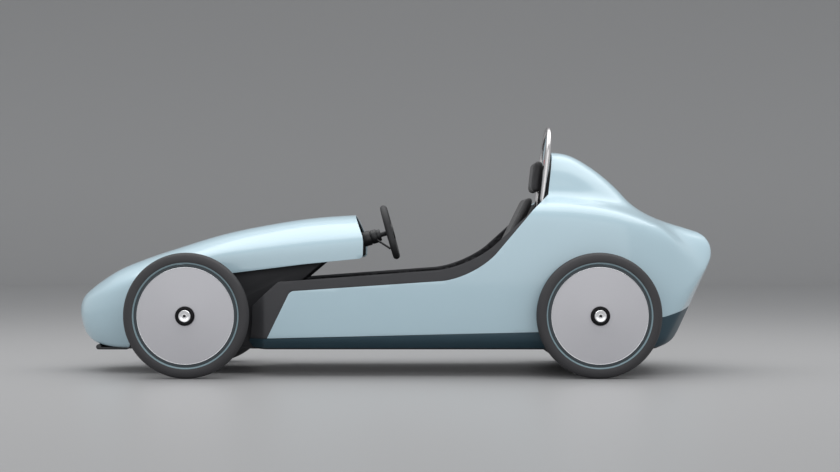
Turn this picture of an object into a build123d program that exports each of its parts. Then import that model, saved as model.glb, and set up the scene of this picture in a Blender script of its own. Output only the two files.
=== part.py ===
"""A full-size pedal car with four bicycle-size wheels, a racing-car body and an electric drive unit.

Frame: +X to the rear, +Y to the driver's right, +Z up, origin on the floor under the middle.
All sizes are in millimetres.
"""
from build123d import *
import math
import os

# Overall layout
NOSE_X = -1348.0
TAIL_X = 1348.0
FRONT_AXLE_X = -835.0
REAR_AXLE_X = 825.0
TRACK = 790.0
WHEEL_CLEAR = 30.0
FLOOR_Z = 105.0
FLOOR_THICKNESS = 8.0
SKIN = 6.0
TUB_WALL = 14.0
SEAT_GAP = 0.3
RUNNING_FIT = 0.05

# Wheels
TYRE_R = 253.0
TYRE_PROFILE = [(207.0, 15.5), (221.0, 25.0), (241.0, 21.0), (TYRE_R, 9.0)]
TYRE_HALF = TYRE_PROFILE[1][1]
BEAD_R = TYRE_PROFILE[0][0]
RIM_R = 195.0
RIM_BED_R = 186.0
RIM_WIDTH = 36.0
DISC_SHEET = 3.0
DISC_CONE = 10.0
HUB_R = 39.0
HUB_OUT = 45.0
HUB_IN = 30.0
CAP_R = 23.5
CAP_HOLE_R = 6.0
CAP_DEPTH = 8.0
CAP_STAND = 3.0
HUB_BEVEL = 6.0
HUB_NECK = 8.0
HUB_GAP = 0.5
STUB_CLEAR = 2.0
SHOULDER = 5.0
STUB_R = 10.0

# Main body sections from the footwell to the tail, half of each; tuck is measured in from the widest
# side, shoulder_in from the waist, and hump is a share of the headrest hump's full rise
HULL_COLUMNS = ("x", "tuck", "shoulder_in", "shoulder_z", "valley_y", "valley_z", "hump")
HULL_ROWS = [
    (-640, 155, 8, 690, 150, 749, 1.0),
    (-535, 8, 32, 690, 160, 749, 1.0),
    (500, 3, 35, 690, 160, 749, 1.0),
    (690, 0, 38, 688, 158, 748, 0.989),
    (756, 0, 39, 684, 155, 743, 0.934),
    (833, 2, 40, 677, 150, 733, 0.743),
    (894, 6, 40, 668, 144, 720, 0.563),
    (948, 12, 40, 656, 138, 705, 0.372),
    (1000, 24, 39, 640, 128, 688, 0.153),
    (1060, 42, 37, 619, 118, 660, 0.077),
    (1140, 72, 34, 582, 112, 622, 0.093),
    (1240, 118, 30, 480, 106, 578, 0.164),
    (1400, 205, 23, 345, 80, 500, 0.317),
]
WAIST_SHARE = 1 / 3
SILL_CORNER_RISE = 45.0
SILL_CORNER_INSET = 14.0
FLOOR_CORNER_INSET = 62.0

# Nose and hood sections, half of each
COWL_COLUMNS = ("x", "bottom_y", "bottom_z", "bulge_y", "crease_y", "crease_z", "top_z")
COWL_ROWS = [
    (-1348.5, 14, 246, 22, 14, 272, 280),
    (-1341, 34, 218, 50, 38, 284, 301),
    (-1329, 54, 189, 80, 60, 296, 321),
    (-1308, 76, 156, 112, 90, 308, 341),
    (-1264, 100, 122, 150, 132, 326, 376),
    (-1181, 140, 106, 198, 186, 356, 429),
    (-1072, 180, 105, 222, 216, 396, 474),
    (-945, 200, 105, 228, 226, 440, 517),
    (-742, 220, 105, 234, 232, 494, 579),
    (-560, 228, 105, 240, 238, 518, 618),
    (-350, 238, 105, 247, 245, 541, 650),
    (-90, 246, 105, 254, 252, 567, 668),
]
NOSE_BLUNT_END = -1250.0

# Side outlines of the body, as (x, z)
COCKPIT_FRONT = (-480.0, 386.0)
COCKPIT_KNEE = (308.0, 444.0)
COCKPIT_TOP = (640.0, 746.0)
HUMP_SET_BACK = 26.0
HUMP_FOOT_Z = 749.0
COCKPIT_SWEEP_R = 360.0
BLUE_FRONT_LOW = (-519.0, 155.5)
BLUE_FRONT_TOP = (-424.0, 348.0)
BLUE_KNEE = (328.0, 399.0)
BLUE_SWEEP_R = 300.0
BLUE_CORNER_R = 22.0
BLUE_TOP = (624.0, 746.0)
SILL_LINE = [(-700.0, 151.0), (612.0, 183.0), (1110.0, 242.0), (1420.0, 332.0)]
TUB_FRONT = [(-629.0, 103.0), (-598.0, 150.0), (-588.0, 210.0), (-585.0, 286.0), (-470.0, 388.0)]
TAIL_TOP_CORNER = (38.0, 563.0)
TAIL_TOP_R = 98.0
TAIL_LOW_BACK = 174.0
TAIL_LOW_R = 110.0
TAIL_BOW_R = 470.0
TAIL_BOW_SHARE = 0.936
TAIL_BOW_PROUD = 2.0
TAIL_TOP_RISE = 0.31
TAIL_TOP_CLEAR = 2.0
TAIL_TOP_START = 1150.0
PANEL_SPLIT_X = 640.0
COWL_ARCH = [(-1124.0, 60.0), (-1040.0, 352.0), (-671.0, 420.0), (-381.0, 456.0), (-132.0, 481.0)]
COWL_ARCH_R = 140.0
COWL_TIP_R = 14.0
COWL_REAR = [(-130.0, 563.0), (-171.0, 664.0), (-176.0, 720.0)]
ABOVE_ALL = 1150.0
BESIDE_ALL = 500.0
ALONG_ALL = 1500.0
CORNER_SHARE = 0.45

# Footwell, bulkheads and dash
FOOTWELL_HALF = 205.0
FOOTWELL_WALL = 8.0
FLOOR_FRONT_X = -1106.0
FOOTWELL_FRONT_X = -1050.0
FOOTWELL_TOP = [(FOOTWELL_FRONT_X, 384.0), (-1000.0, 396.0), (-671.0, 445.0), (-275.0, 484.0)]
FOOTWELL_REAR = [(-385.0, 392.0), (-490.0, 330.0), (-560.0, FLOOR_Z + FLOOR_THICKNESS)]
BULKHEAD_X = -800.0
BULKHEAD_THICKNESS = 8.0
SEAT_BULKHEAD_X = 646.0
SEAT_BULKHEAD_THICKNESS = 10.0
DASH_INSET = 28.0
DASH_THICKNESS = 10.0
DASH_LOW_Z = 512.0
LIP_FRONT_X = -1250.0
LIP_REAR_X = -1130.0
LIP_HALF = 120.0
LIP_THICKNESS = 10.0
LIP_BEAD_R = 11.0

# Steering
KINGPIN_INSET = 60.0
KINGPIN_R = 6.0
BOSS_R = 15.0
BOSS_HEIGHT = 44.0
FORK_PLATE = 10.0
FORK_GAP = 1.0
FORK_REACH = 35.0
FORK_ROOT_IN = 14.0
FORK_ROOT_OUT = 8.0
BEAM_R = 19.0
BEAM_CLAMP_Y = 120.0
BEAM_CLAMP_WIDTH = 30.0
ARM_LENGTH = 110.0
ARM_THICKNESS = 12.0
ARM_WIDTH = 22.0
ROD_R = 9.0
ROD_GAP = 3.0
ROD_EYE_R = 15.0
ROD_EYE_HEIGHT = 22.0
ROD_PIN_R = 5.0
ROD_PIN_SLACK = 0.6
BOX_SIZE = (74.0, 84.0, 88.0)
BOX_LOW_Z = 308.0
BOX_ROUND = 12.0
BOX_BORE = 30.0
END_CLEAR = 1.0
SHAFT_CLEAR = 6.0
PITMAN_SHAFT_R = 9.0
PITMAN_THICKNESS = 10.0
STEER_LIMIT = 25.0
YOKE_CENTRE = (-24.0, 589.0)
COLUMN_TILT = 15.5
YOKE_HEIGHT = 238.0
YOKE_WIDTH = 276.0
YOKE_CORNER_R = 74.0
GRIP_R = 14.0
YOKE_HUB_R = 34.0
YOKE_HUB_DEPTH = 34.0
SPOKE_WIDTH = 30.0
SPOKE_THICKNESS = 12.0
SHAFT_R = 10.0
COLUMN_R = 32.0
COLUMN_FROM = -150.0
COLUMN_TO = -42.0

# Seat and roll hoop
SEAT_SIDE_ROOM = 66.0
SEAT_BACK_LOW = (284.0, 200.0)
SEAT_TOP_AHEAD = 90.2
SEAT_UNDER_HEADREST = 8.0
SEAT_FRONT = (-20.0, 214.0)
SEAT_PAD = 34.0
SEAT_SHELL_WALL = 12.0
SEAT_FOOT = 24.0
HOOP_R = 11.0
HOOP_HALF = 137.0
HOOP_BEND_R = 136.0
HOOP_TOP_Z = 1042.0
HOOP_OVER_HUMP = 110.0
HOOP_AHEAD = 23.5
HOOP_LEAN = 0.114
HOOP_FOOT_R = 26.0
HOOP_FOOT = 6.0
CROSS_TUBE_DROP = 174.0
CROSS_TUBE_R = 8.0
HEADREST_HALF = 112.0
HEADREST_BELOW = 112.0
HEADREST_ABOVE = 32.0
HEADREST_PAD = 44.0
HEADREST_BACK_R = 4.0
LAMP_R = 13.0
LAMP_HEIGHT = 24.0

# Drive
CRANK_X = -560.0
CRANK_Z = 340.0
CRANK_LENGTH = 140.0
CRANK_ARM_Y = 66.0
CRANK_ARM_THICKNESS = 14.0
CRANK_ARM_WIDTH = 28.0
SPINDLE_R = 10.0
PEDAL_PIN_R = 6.0
PEDAL_LENGTH = 90.0
PEDAL_WIDTH = 80.0
PEDAL_THICKNESS = 22.0
PEDAL_GAP = 4.0
PEDAL_END = 5.0
UNIT_R = 54.0
UNIT_HALF = 56.0
PEDESTAL_LENGTH = 84.0
PEDESTAL_HALF = 34.0
TUNNEL_HALF = 46.0
TUNNEL_HEIGHT = 34.0
BATTERY_SIZE = (120.0, 300.0, 170.0)
REAR_AXLE_R = 17.0
AXLE_HOLE_R = 25.0
HANGER_Y = 170.0
HANGER_LENGTH = 60.0
HANGER_THICKNESS = 12.0

# Worked out from the sizes above
WHEEL_Y = TRACK / 2
BODY_HALF = WHEEL_Y - TYRE_HALF - WHEEL_CLEAR
TUB_FULL_X = HULL_ROWS[1][0]
FLOOR_HALF = BODY_HALF - HULL_ROWS[1][1] - FLOOR_CORNER_INSET - TUB_WALL
SEAT_HALF = FLOOR_HALF - SEAT_SIDE_ROOM
KINGPIN_Y = WHEEL_Y - KINGPIN_INSET
FORK_ROOT_Y = KINGPIN_Y - FORK_REACH
HUMP_FRONT = (COCKPIT_TOP[0] + HUMP_SET_BACK, HOOP_TOP_Z - HOOP_OVER_HUMP)
HUMP_RISE = HUMP_FRONT[1] - HUMP_FOOT_Z
CROSS_TUBE_Z = HOOP_TOP_Z - CROSS_TUBE_DROP
HEADREST_LOW_Z = CROSS_TUBE_Z - HEADREST_BELOW
HEADREST_HIGH_Z = CROSS_TUBE_Z + HEADREST_ABOVE
SEAT_TOP_Z = HEADREST_LOW_Z - SEAT_UNDER_HEADREST
SEAT_TOP_X = SEAT_BULKHEAD_X - SEAT_TOP_AHEAD + HOOP_LEAN * (SEAT_TOP_Z - COCKPIT_TOP[1])
SEAT_BACK_TOP = (SEAT_TOP_X, SEAT_TOP_Z)
SILL_CORNER_Z = FLOOR_Z + SILL_CORNER_RISE
TAIL_SLANT = (TAIL_TOP_CORNER[0] + TAIL_LOW_BACK) / (TAIL_TOP_CORNER[1] - TUB_FRONT[0][1])
TAIL_BOW_HALF = TAIL_BOW_SHARE * TAIL_BOW_R
AXLE_Z = TYRE_R
FLOOR_TOP = FLOOR_Z + FLOOR_THICKNESS
COLUMN_DIRECTION = Vector(math.cos(math.radians(COLUMN_TILT)), 0, math.sin(math.radians(COLUMN_TILT)))
YOKE_POINT = Vector(YOKE_CENTRE[0], 0, YOKE_CENTRE[1])
COLUMN_PLANE = Plane(YOKE_POINT, x_dir=(0, 1, 0), z_dir=COLUMN_DIRECTION)
ARM_X = FRONT_AXLE_X - ARM_LENGTH
ROD_Z = AXLE_Z + ARM_THICKNESS / 2 + ROD_GAP + ROD_EYE_HEIGHT / 2
UPRIGHT = (Align.CENTER, Align.CENTER, Align.MIN)


def corner_turns(corners):
    """The turn at each corner of a closed outline and the shorter of its two edges."""
    found = []
    for index, corner in enumerate(corners):
        before = Vector(*corner) - Vector(*corners[index - 1])
        after = Vector(*corners[(index + 1) % len(corners)]) - Vector(*corner)
        turn = math.radians(before.get_angle(after))
        found.append((turn, min(before.length, after.length)))
    return found


def rounded_face(corners, radii):
    """A face inside a closed outline, each corner rounded as far as its edges allow."""
    limited = []
    for (turn, edge), radius in zip(corner_turns(corners), radii):
        limited.append(min(radius, CORNER_SHARE * edge / math.tan(turn / 2)))
    return make_face(FilletPolyline(*corners, radius=limited, close=True))


def side_prism(corners, radii, half_width=BESIDE_ALL):
    """A side outline in X and Z, pushed out to both sides."""
    return extrude(Plane.XZ * rounded_face(corners, radii), amount=half_width, both=True)


def inset_outline(corners, distance):
    """A closed outline, counter-clockwise, with every edge moved inwards."""
    lines = []
    for index, corner in enumerate(corners):
        following = corners[(index + 1) % len(corners)]
        run = Vector(*following) - Vector(*corner)
        inward = Vector(-run.Y, run.X).normalized() * distance
        lines.append((Vector(*corner) + inward, run))
    moved = []
    for index, (point, run) in enumerate(lines):
        last_point, last_run = lines[index - 1]
        cross = last_run.X * run.Y - last_run.Y * run.X
        offset = point - last_point
        share = (offset.X * run.Y - offset.Y * run.X) / cross
        meet = last_point + last_run * share
        moved.append((meet.X, meet.Y))
    return moved


def hull_section(row, inset):
    """One section of the main body: floor, sill, bowed side, shoulder and headrest hump."""
    size = dict(zip(HULL_COLUMNS, row))
    waist = BODY_HALF - size["tuck"]
    waist_z = SILL_CORNER_Z + WAIST_SHARE * (size["shoulder_z"] - SILL_CORNER_Z)
    hump_z = size["valley_z"] + size["hump"] * HUMP_RISE
    half = [
        (waist - FLOOR_CORNER_INSET, FLOOR_Z),
        (waist - SILL_CORNER_INSET, SILL_CORNER_Z),
        (waist - size["shoulder_in"], size["shoulder_z"]),
        (size["valley_y"], size["valley_z"]),
    ]
    corners = inset_outline(half + [(-y, z) for y, z in reversed(half)], inset)
    right, left = corners[:4], corners[4:]
    bow = waist - inset
    edges = [
        Line(left[3], right[0]),
        Line(right[0], right[1]),
        ThreePointArc(right[1], (bow, waist_z), right[2]),
        Line(right[2], right[3]),
        ThreePointArc(right[3], (0, hump_z - inset), left[0]),
        Line(left[0], left[1]),
        ThreePointArc(left[1], (-bow, waist_z), left[2]),
        Line(left[2], left[3]),
    ]
    return Plane.YZ.offset(size["x"]) * make_face(edges)


def tail_bow(inset):
    """The room ahead of the tail's bowed end, its plan arc pushed up along the tail's slant."""
    end_x = TAIL_X - TAIL_LOW_BACK - TAIL_SLANT * TUB_FRONT[0][1] + TAIL_BOW_PROUD - inset
    corner_x = end_x - TAIL_BOW_R + math.sqrt(TAIL_BOW_R**2 - TAIL_BOW_HALF**2)
    left, right = (corner_x, -TAIL_BOW_HALF), (corner_x, TAIL_BOW_HALF)
    front_left, front_right = (-ALONG_ALL, -TAIL_BOW_HALF), (-ALONG_ALL, TAIL_BOW_HALF)
    edges = [
        ThreePointArc(left, (end_x, 0.0), right),
        Line(right, front_right),
        Line(front_right, front_left),
        Line(front_left, left),
    ]
    return extrude(make_face(edges), amount=ABOVE_ALL, dir=(TAIL_SLANT, 0, 1))


def hull(inset):
    """The main body's outer form, moved inwards by the inset and cut to its side outline."""
    body = loft([hull_section(row, inset) for row in HULL_ROWS], ruled=True)
    front = [(x + inset, z) for x, z in reversed(TUB_FRONT)]
    tail_line_x = TAIL_X + TAIL_TOP_CORNER[0]
    top_start_z = TAIL_TOP_CORNER[1] + TAIL_TOP_RISE * (tail_line_x - TAIL_TOP_START) + TAIL_TOP_CLEAR
    outline = [
        (TAIL_X - TAIL_LOW_BACK - inset, TUB_FRONT[0][1]),
        (tail_line_x - inset, TAIL_TOP_CORNER[1]),
        (TAIL_TOP_START, top_start_z),
        (TAIL_TOP_START, ABOVE_ALL),
        (front[0][0], ABOVE_ALL),
    ] + front
    radii = [TAIL_LOW_R, TAIL_TOP_R] + [0.0] * (len(outline) - 2)
    return body & side_prism(outline, radii) & tail_bow(inset)


def cowl_section(row, inset):
    """One section of the nose and hood: flat floor, bowed sides and a domed top over a crease."""
    size = dict(zip(COWL_COLUMNS, row))
    low_y = size["bottom_y"] - inset
    low_z = size["bottom_z"] + inset
    bow = size["bulge_y"] - inset
    crease_y = size["crease_y"] - inset
    crease_z = size["crease_z"] - inset / 2
    middle_z = (low_z + crease_z) / 2
    edges = [
        Line((-low_y, low_z), (low_y, low_z)),
        ThreePointArc((low_y, low_z), (bow, middle_z), (crease_y, crease_z)),
        ThreePointArc((crease_y, crease_z), (0, size["top_z"] - inset), (-crease_y, crease_z)),
        ThreePointArc((-crease_y, crease_z), (-bow, middle_z), (-low_y, low_z)),
    ]
    shift = inset if size["x"] < NOSE_BLUNT_END else 0.0
    return Plane.YZ.offset(size["x"] + shift) * make_face(edges)


def cowl_form(inset):
    """The outer form of nose and hood, moved inwards by the inset."""
    return loft([cowl_section(row, inset) for row in COWL_ROWS], ruled=True)


def rod_between(start, end, radius):
    """A round bar from one point to another."""
    axis = Vector(*end) - Vector(*start)
    return Plane(start, z_dir=axis) * Cylinder(radius, axis.length, align=UPRIGHT)


def upright_bar(x, y, low, high, radius):
    """A round bar that stands along Z."""
    return Pos(x, y, low) * Cylinder(radius, high - low, align=UPRIGHT)


def cross_bar(x, z, low, high, radius):
    """A round bar that lies along Y."""
    return rod_between((x, low, z), (x, high, z), radius)


def along_column(low, high, radius):
    """A round bar on the steering column's line, measured from the yoke."""
    return COLUMN_PLANE * Pos(0, 0, low) * Cylinder(radius, high - low, align=UPRIGHT)


def block(x, y, z):
    """A box from its three (low, high) ranges."""
    size = [high - low for low, high in (x, y, z)]
    return Pos(x[0], y[0], z[0]) * Box(*size, align=(Align.MIN, Align.MIN, Align.MIN))


def write(name, shape):
    """Writes one named piece."""
    export_step(Compound(children=list(shape.solids())), os.path.join("parts", name + ".step"))


os.makedirs("parts", exist_ok=True)

# Main body, split where its panels meet
outer = hull(0.0)
skin_inside = hull(SKIN)
tub_outside = hull(SKIN + SEAT_GAP)
tub_inside = hull(TUB_WALL)

cockpit_cut = side_prism(
    [
        (COCKPIT_FRONT[0] - BESIDE_ALL, COCKPIT_FRONT[1]),
        COCKPIT_FRONT,
        COCKPIT_KNEE,
        COCKPIT_TOP,
        HUMP_FRONT,
        (HUMP_FRONT[0] + SKIN, ABOVE_ALL),
        (COCKPIT_FRONT[0] - BESIDE_ALL, ABOVE_ALL),
    ],
    [0.0, 0.0, COCKPIT_SWEEP_R, 0.0, 0.0, 0.0, 0.0],
)
below_sill_line = side_prism(
    SILL_LINE + [(SILL_LINE[-1][0], 0.0), (SILL_LINE[0][0], 0.0)],
    [0.0, 0.0, 0.0, 0.0, 0.0, 0.0],
)
blue_zone = side_prism(
    [
        BLUE_FRONT_LOW,
        BLUE_FRONT_TOP,
        BLUE_KNEE,
        BLUE_TOP,
        (BLUE_TOP[0], ABOVE_ALL),
        (SILL_LINE[-1][0], ABOVE_ALL),
        SILL_LINE[-1],
        SILL_LINE[-2],
        SILL_LINE[-3],
    ],
    [0.0, BLUE_CORNER_R, BLUE_SWEEP_R, 0.0, 0.0, 0.0, 0.0, 0.0, 0.0],
)
above_floor = block((-ALONG_ALL, ALONG_ALL), (-BESIDE_ALL, BESIDE_ALL), (FLOOR_TOP, ABOVE_ALL))
ahead_of_split = block((-ALONG_ALL, PANEL_SPLIT_X), (-BESIDE_ALL, BESIDE_ALL), (0.0, ABOVE_ALL))
ahead_of_seat_wall = block(
    (-ALONG_ALL, SEAT_BULKHEAD_X - SEAT_GAP), (-BESIDE_ALL, BESIDE_ALL), (0.0, ABOVE_ALL)
)
left_half = block((-ALONG_ALL, ALONG_ALL), (-BESIDE_ALL, 0.0), (0.0, ABOVE_ALL))
rear_axle_hole = cross_bar(REAR_AXLE_X, AXLE_Z, -BESIDE_ALL, BESIDE_ALL, AXLE_HOLE_R)
footwell_way = block(
    (-ALONG_ALL, COCKPIT_FRONT[0] + BESIDE_ALL / 4),
    (-FOOTWELL_HALF, FOOTWELL_HALF),
    (FLOOR_TOP, ABOVE_ALL),
)
floor_way = block(
    (TUB_FULL_X, SEAT_BULKHEAD_X), (-FLOOR_HALF, FLOOR_HALF), (FLOOR_TOP, FLOOR_Z + TUB_WALL)
)

skin = (outer - skin_inside) & above_floor
blue_skin = (skin & blue_zone) - cockpit_cut - rear_axle_hole
sill_skin = (skin & below_sill_line) - footwell_way
tub = (outer - tub_inside) & above_floor & ahead_of_seat_wall
tub -= (blue_zone + below_sill_line) - tub_outside
tub = tub - cockpit_cut - footwell_way - floor_way

side_panels = blue_skin & ahead_of_split
sills = sill_skin & ahead_of_split
write("side_panel_left", side_panels & left_half)
write("side_panel_right", side_panels - left_half)
write("tail_shell", blue_skin - ahead_of_split)
write("sill_left", sills & left_half)
write("sill_right", sills - left_half)
write("rear_valance", sill_skin - ahead_of_split)
write("tub_wall_left", tub & left_half)
write("tub_wall_right", tub - left_half)

main_floor = outer - above_floor
footwell_floor = block(
    (FLOOR_FRONT_X, TUB_FULL_X), (-FOOTWELL_HALF, FOOTWELL_HALF), (FLOOR_Z, FLOOR_TOP)
)
write("floor_pan", main_floor + footwell_floor)

seat_wall = side_prism(
    [
        (SEAT_BULKHEAD_X, FLOOR_TOP),
        (SEAT_BULKHEAD_X + SEAT_BULKHEAD_THICKNESS, FLOOR_TOP),
        (SEAT_BULKHEAD_X + SEAT_BULKHEAD_THICKNESS, COCKPIT_TOP[1]),
        (HUMP_FRONT[0] + 2 * SKIN + SEAT_BULKHEAD_THICKNESS, HUMP_FRONT[1]),
        (HUMP_FRONT[0] + 2 * SKIN, HUMP_FRONT[1]),
        (SEAT_BULKHEAD_X, COCKPIT_TOP[1]),
    ],
    [0.0] * 6,
)
write("seat_bulkhead", seat_wall & tub_outside)

# Nose and hood in one shell, open below behind the nose
cowl_outer = cowl_form(0.0)
cowl_inside = cowl_form(SKIN)
cowl_seat = cowl_form(SKIN + SEAT_GAP)
cowl_keep = side_prism(
    [(NOSE_X - BESIDE_ALL, COWL_ARCH[0][1])]
    + COWL_ARCH
    + COWL_REAR
    + [(COWL_REAR[-1][0], ABOVE_ALL), (NOSE_X - BESIDE_ALL, ABOVE_ALL)],
    [0.0, 0.0, COWL_ARCH_R, 0.0, 0.0, COWL_TIP_R, 0.0, 0.0, 0.0, 0.0, 0.0],
)
write("front_cowl", (cowl_outer - cowl_inside) & cowl_keep)

dash_line = [(x - DASH_INSET, z) for x, z in [(COWL_REAR[0][0], DASH_LOW_Z)] + COWL_REAR]
dash_front = [(x - DASH_THICKNESS, z) for x, z in reversed(dash_line)]
dash_zone = side_prism(dash_line + dash_front, [0.0] * 2 * len(dash_line))
column_hole = along_column(2 * COLUMN_FROM, 0.0, COLUMN_R + SEAT_GAP)
write("dash_panel", (dash_zone & cowl_seat) - column_hole)

shaft_hole = along_column(-ALONG_ALL, 0.0, SHAFT_R + SHAFT_CLEAR)
bulkhead_x = (BULKHEAD_X, BULKHEAD_X + BULKHEAD_THICKNESS)
bulkhead_half = FOOTWELL_HALF - FOOTWELL_WALL - SEAT_GAP
bulkhead_zone = block(bulkhead_x, (-bulkhead_half, bulkhead_half), (FLOOR_TOP, ABOVE_ALL))
bulkhead_brow = block(bulkhead_x, (-BESIDE_ALL, BESIDE_ALL), (FOOTWELL_TOP[2][1] + SEAT_GAP, ABOVE_ALL))
write("front_bulkhead", ((bulkhead_zone + bulkhead_brow) & cowl_seat) - shaft_hole)

footwell_side = FOOTWELL_TOP + FOOTWELL_REAR + [(FOOTWELL_FRONT_X, FLOOR_TOP)]
footwell_plate = side_prism(footwell_side, [0.0] * len(footwell_side), FOOTWELL_HALF)
footwell_plate -= block(
    (-ALONG_ALL, ALONG_ALL),
    (-FOOTWELL_HALF + FOOTWELL_WALL, FOOTWELL_HALF - FOOTWELL_WALL),
    (0.0, ABOVE_ALL),
)
footwell_plate -= cross_bar(FRONT_AXLE_X, AXLE_Z, -BESIDE_ALL, BESIDE_ALL, AXLE_HOLE_R)
rod_travel = ARM_LENGTH * (1 - math.cos(math.radians(STEER_LIMIT)))
footwell_plate -= block(
    (ARM_X - ROD_R * 2, ARM_X + rod_travel + ROD_R * 2),
    (-BESIDE_ALL, BESIDE_ALL),
    (ROD_Z - ROD_R * 2, ROD_Z + ROD_R * 2),
)
write("footwell_walls", footwell_plate)

lip_top = FLOOR_Z - SEAT_GAP
lip_plate = block((LIP_FRONT_X, LIP_REAR_X), (-LIP_HALF, LIP_HALF), (lip_top - LIP_THICKNESS, lip_top))
lip_bead = cross_bar(LIP_FRONT_X, lip_top - LIP_THICKNESS + LIP_BEAD_R, -LIP_HALF, LIP_HALF, LIP_BEAD_R)
write("front_lip", lip_plate + lip_bead)

# Wheels: tyre, rim, two covers and hub turn together on a stub axle
WHEELS = [
    ("front_left", FRONT_AXLE_X, -1),
    ("front_right", FRONT_AXLE_X, 1),
    ("rear_left", REAR_AXLE_X, -1),
    ("rear_right", REAR_AXLE_X, 1),
]


def turned(profile):
    """A ring about the wheel's axle, from a closed outline of (radius, offset towards outside)."""
    face = make_face(Polyline(*profile, close=True))
    return revolve(Plane.XY * face, axis=Axis.Y)


def wheel_pieces():
    """The four pieces of one wheel about the origin, its outside towards +Y."""
    outside = [(radius, half) for radius, half in reversed(TYRE_PROFILE)]
    tyre = turned([(radius, -half) for radius, half in TYRE_PROFILE] + outside)
    rim_half = RIM_WIDTH / 2
    rim = turned([
        (RIM_BED_R, -rim_half), (BEAD_R, -rim_half), (BEAD_R, rim_half), (RIM_BED_R, rim_half),
    ])
    covers = []
    for side in (1, -1):
        cone = [
            (HUB_R, side * (rim_half + DISC_CONE)),
            (RIM_R, side * rim_half),
            (RIM_R, side * (rim_half + DISC_SHEET)),
            (HUB_R, side * (rim_half + DISC_CONE + DISC_SHEET)),
        ]
        covers.append(turned(cone))
    bore = STUB_R + RUNNING_FIT
    hub = turned([
        (bore, -HUB_IN),
        (HUB_R - HUB_NECK, -HUB_IN),
        (HUB_R, -rim_half - DISC_CONE),
        (HUB_R, HUB_OUT - CAP_DEPTH),
        (HUB_R - HUB_BEVEL, HUB_OUT - CAP_STAND),
        (CAP_R, HUB_OUT - CAP_STAND),
        (CAP_R, HUB_OUT),
        (CAP_HOLE_R, HUB_OUT),
        (CAP_HOLE_R, HUB_OUT - CAP_DEPTH),
        (bore, HUB_OUT - CAP_DEPTH),
    ])
    return {"tyre": tyre, "rim": rim, "disc": Compound(children=covers), "hub": hub}


for corner_name, axle_x, side in WHEELS:
    place = Pos(axle_x, side * WHEEL_Y, AXLE_Z) * Rot(0, 0, 0 if side > 0 else 180)
    for piece_name, piece in wheel_pieces().items():
        write(f"{piece_name}_{corner_name}", place * piece)

# Front axle beam with a fork and kingpin at each end
stub_end = WHEEL_Y + HUB_OUT - CAP_DEPTH - STUB_CLEAR
shoulder_end = WHEEL_Y - HUB_IN - HUB_GAP
beam = cross_bar(FRONT_AXLE_X, AXLE_Z, -FORK_ROOT_Y, FORK_ROOT_Y, BEAM_R)
fork_inner = BOSS_HEIGHT / 2 + FORK_GAP
fork_outer = fork_inner + FORK_PLATE
fork_x = (FRONT_AXLE_X - BOSS_R, FRONT_AXLE_X + BOSS_R)
clamp_half = BEAM_CLAMP_WIDTH / 2
for side in (-1, 1):
    root = sorted((side * (FORK_ROOT_Y - FORK_ROOT_IN), side * (FORK_ROOT_Y + FORK_ROOT_OUT)))
    beam += block(fork_x, root, (AXLE_Z - fork_outer, AXLE_Z + fork_outer))
    cheek = sorted((side * FORK_ROOT_Y, side * KINGPIN_Y))
    for low, high in ((-fork_outer, -fork_inner), (fork_inner, fork_outer)):
        beam += block(fork_x, cheek, (AXLE_Z + low, AXLE_Z + high))
        beam += upright_bar(FRONT_AXLE_X, side * KINGPIN_Y, AXLE_Z + low, AXLE_Z + high, BOSS_R)
    beam += upright_bar(FRONT_AXLE_X, side * KINGPIN_Y, AXLE_Z - fork_outer, AXLE_Z + fork_outer, KINGPIN_R)
    clamp = sorted((side * (BEAM_CLAMP_Y - clamp_half), side * (BEAM_CLAMP_Y + clamp_half)))
    beam += block((FRONT_AXLE_X, BULKHEAD_X), clamp, (AXLE_Z - BEAM_R / 2, AXLE_Z + BEAM_R / 2))
write("front_axle_beam", beam)

# Knuckles: boss on the kingpin, stub axle and forward steering arm with its pin
for name, side in (("left", -1), ("right", 1)):
    y = side * KINGPIN_Y
    knuckle = upright_bar(FRONT_AXLE_X, y, AXLE_Z - BOSS_HEIGHT / 2, AXLE_Z + BOSS_HEIGHT / 2, BOSS_R)
    ends = sorted((y, side * stub_end))
    knuckle += cross_bar(FRONT_AXLE_X, AXLE_Z, *ends, STUB_R)
    shoulder = sorted((y, side * shoulder_end))
    knuckle += cross_bar(FRONT_AXLE_X, AXLE_Z, *shoulder, STUB_R + SHOULDER)
    arm = block(
        (ARM_X, FRONT_AXLE_X),
        (y - ARM_WIDTH / 2, y + ARM_WIDTH / 2),
        (AXLE_Z - ARM_THICKNESS / 2, AXLE_Z + ARM_THICKNESS / 2),
    )
    arm += upright_bar(ARM_X, y, AXLE_Z - ARM_THICKNESS / 2, AXLE_Z + ARM_THICKNESS / 2, ARM_WIDTH / 2)
    arm += upright_bar(ARM_X, y, AXLE_Z, ROD_Z + ROD_EYE_HEIGHT / 2 + ROD_GAP, ROD_PIN_R)
    knuckle += arm
    knuckle -= upright_bar(FRONT_AXLE_X, y, 0, ABOVE_ALL, KINGPIN_R + RUNNING_FIT)
    write(f"knuckle_{name}", knuckle)

# Tie rod across both arms, with an eye at each pin and one in the middle
tie_rod = cross_bar(ARM_X, ROD_Z, -KINGPIN_Y, KINGPIN_Y, ROD_R)
eye_low = ROD_Z - ROD_EYE_HEIGHT / 2
eye_high = ROD_Z + ROD_EYE_HEIGHT / 2
for y in (-KINGPIN_Y, 0.0, KINGPIN_Y):
    tie_rod += upright_bar(ARM_X, y, eye_low, eye_high, ROD_EYE_R)
for y, slack in ((-KINGPIN_Y, RUNNING_FIT), (0.0, ROD_PIN_SLACK), (KINGPIN_Y, ROD_PIN_SLACK)):
    tie_rod -= upright_bar(ARM_X, y, 0, ABOVE_ALL, ROD_PIN_R + slack)
write("tie_rod", tie_rod)

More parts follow.
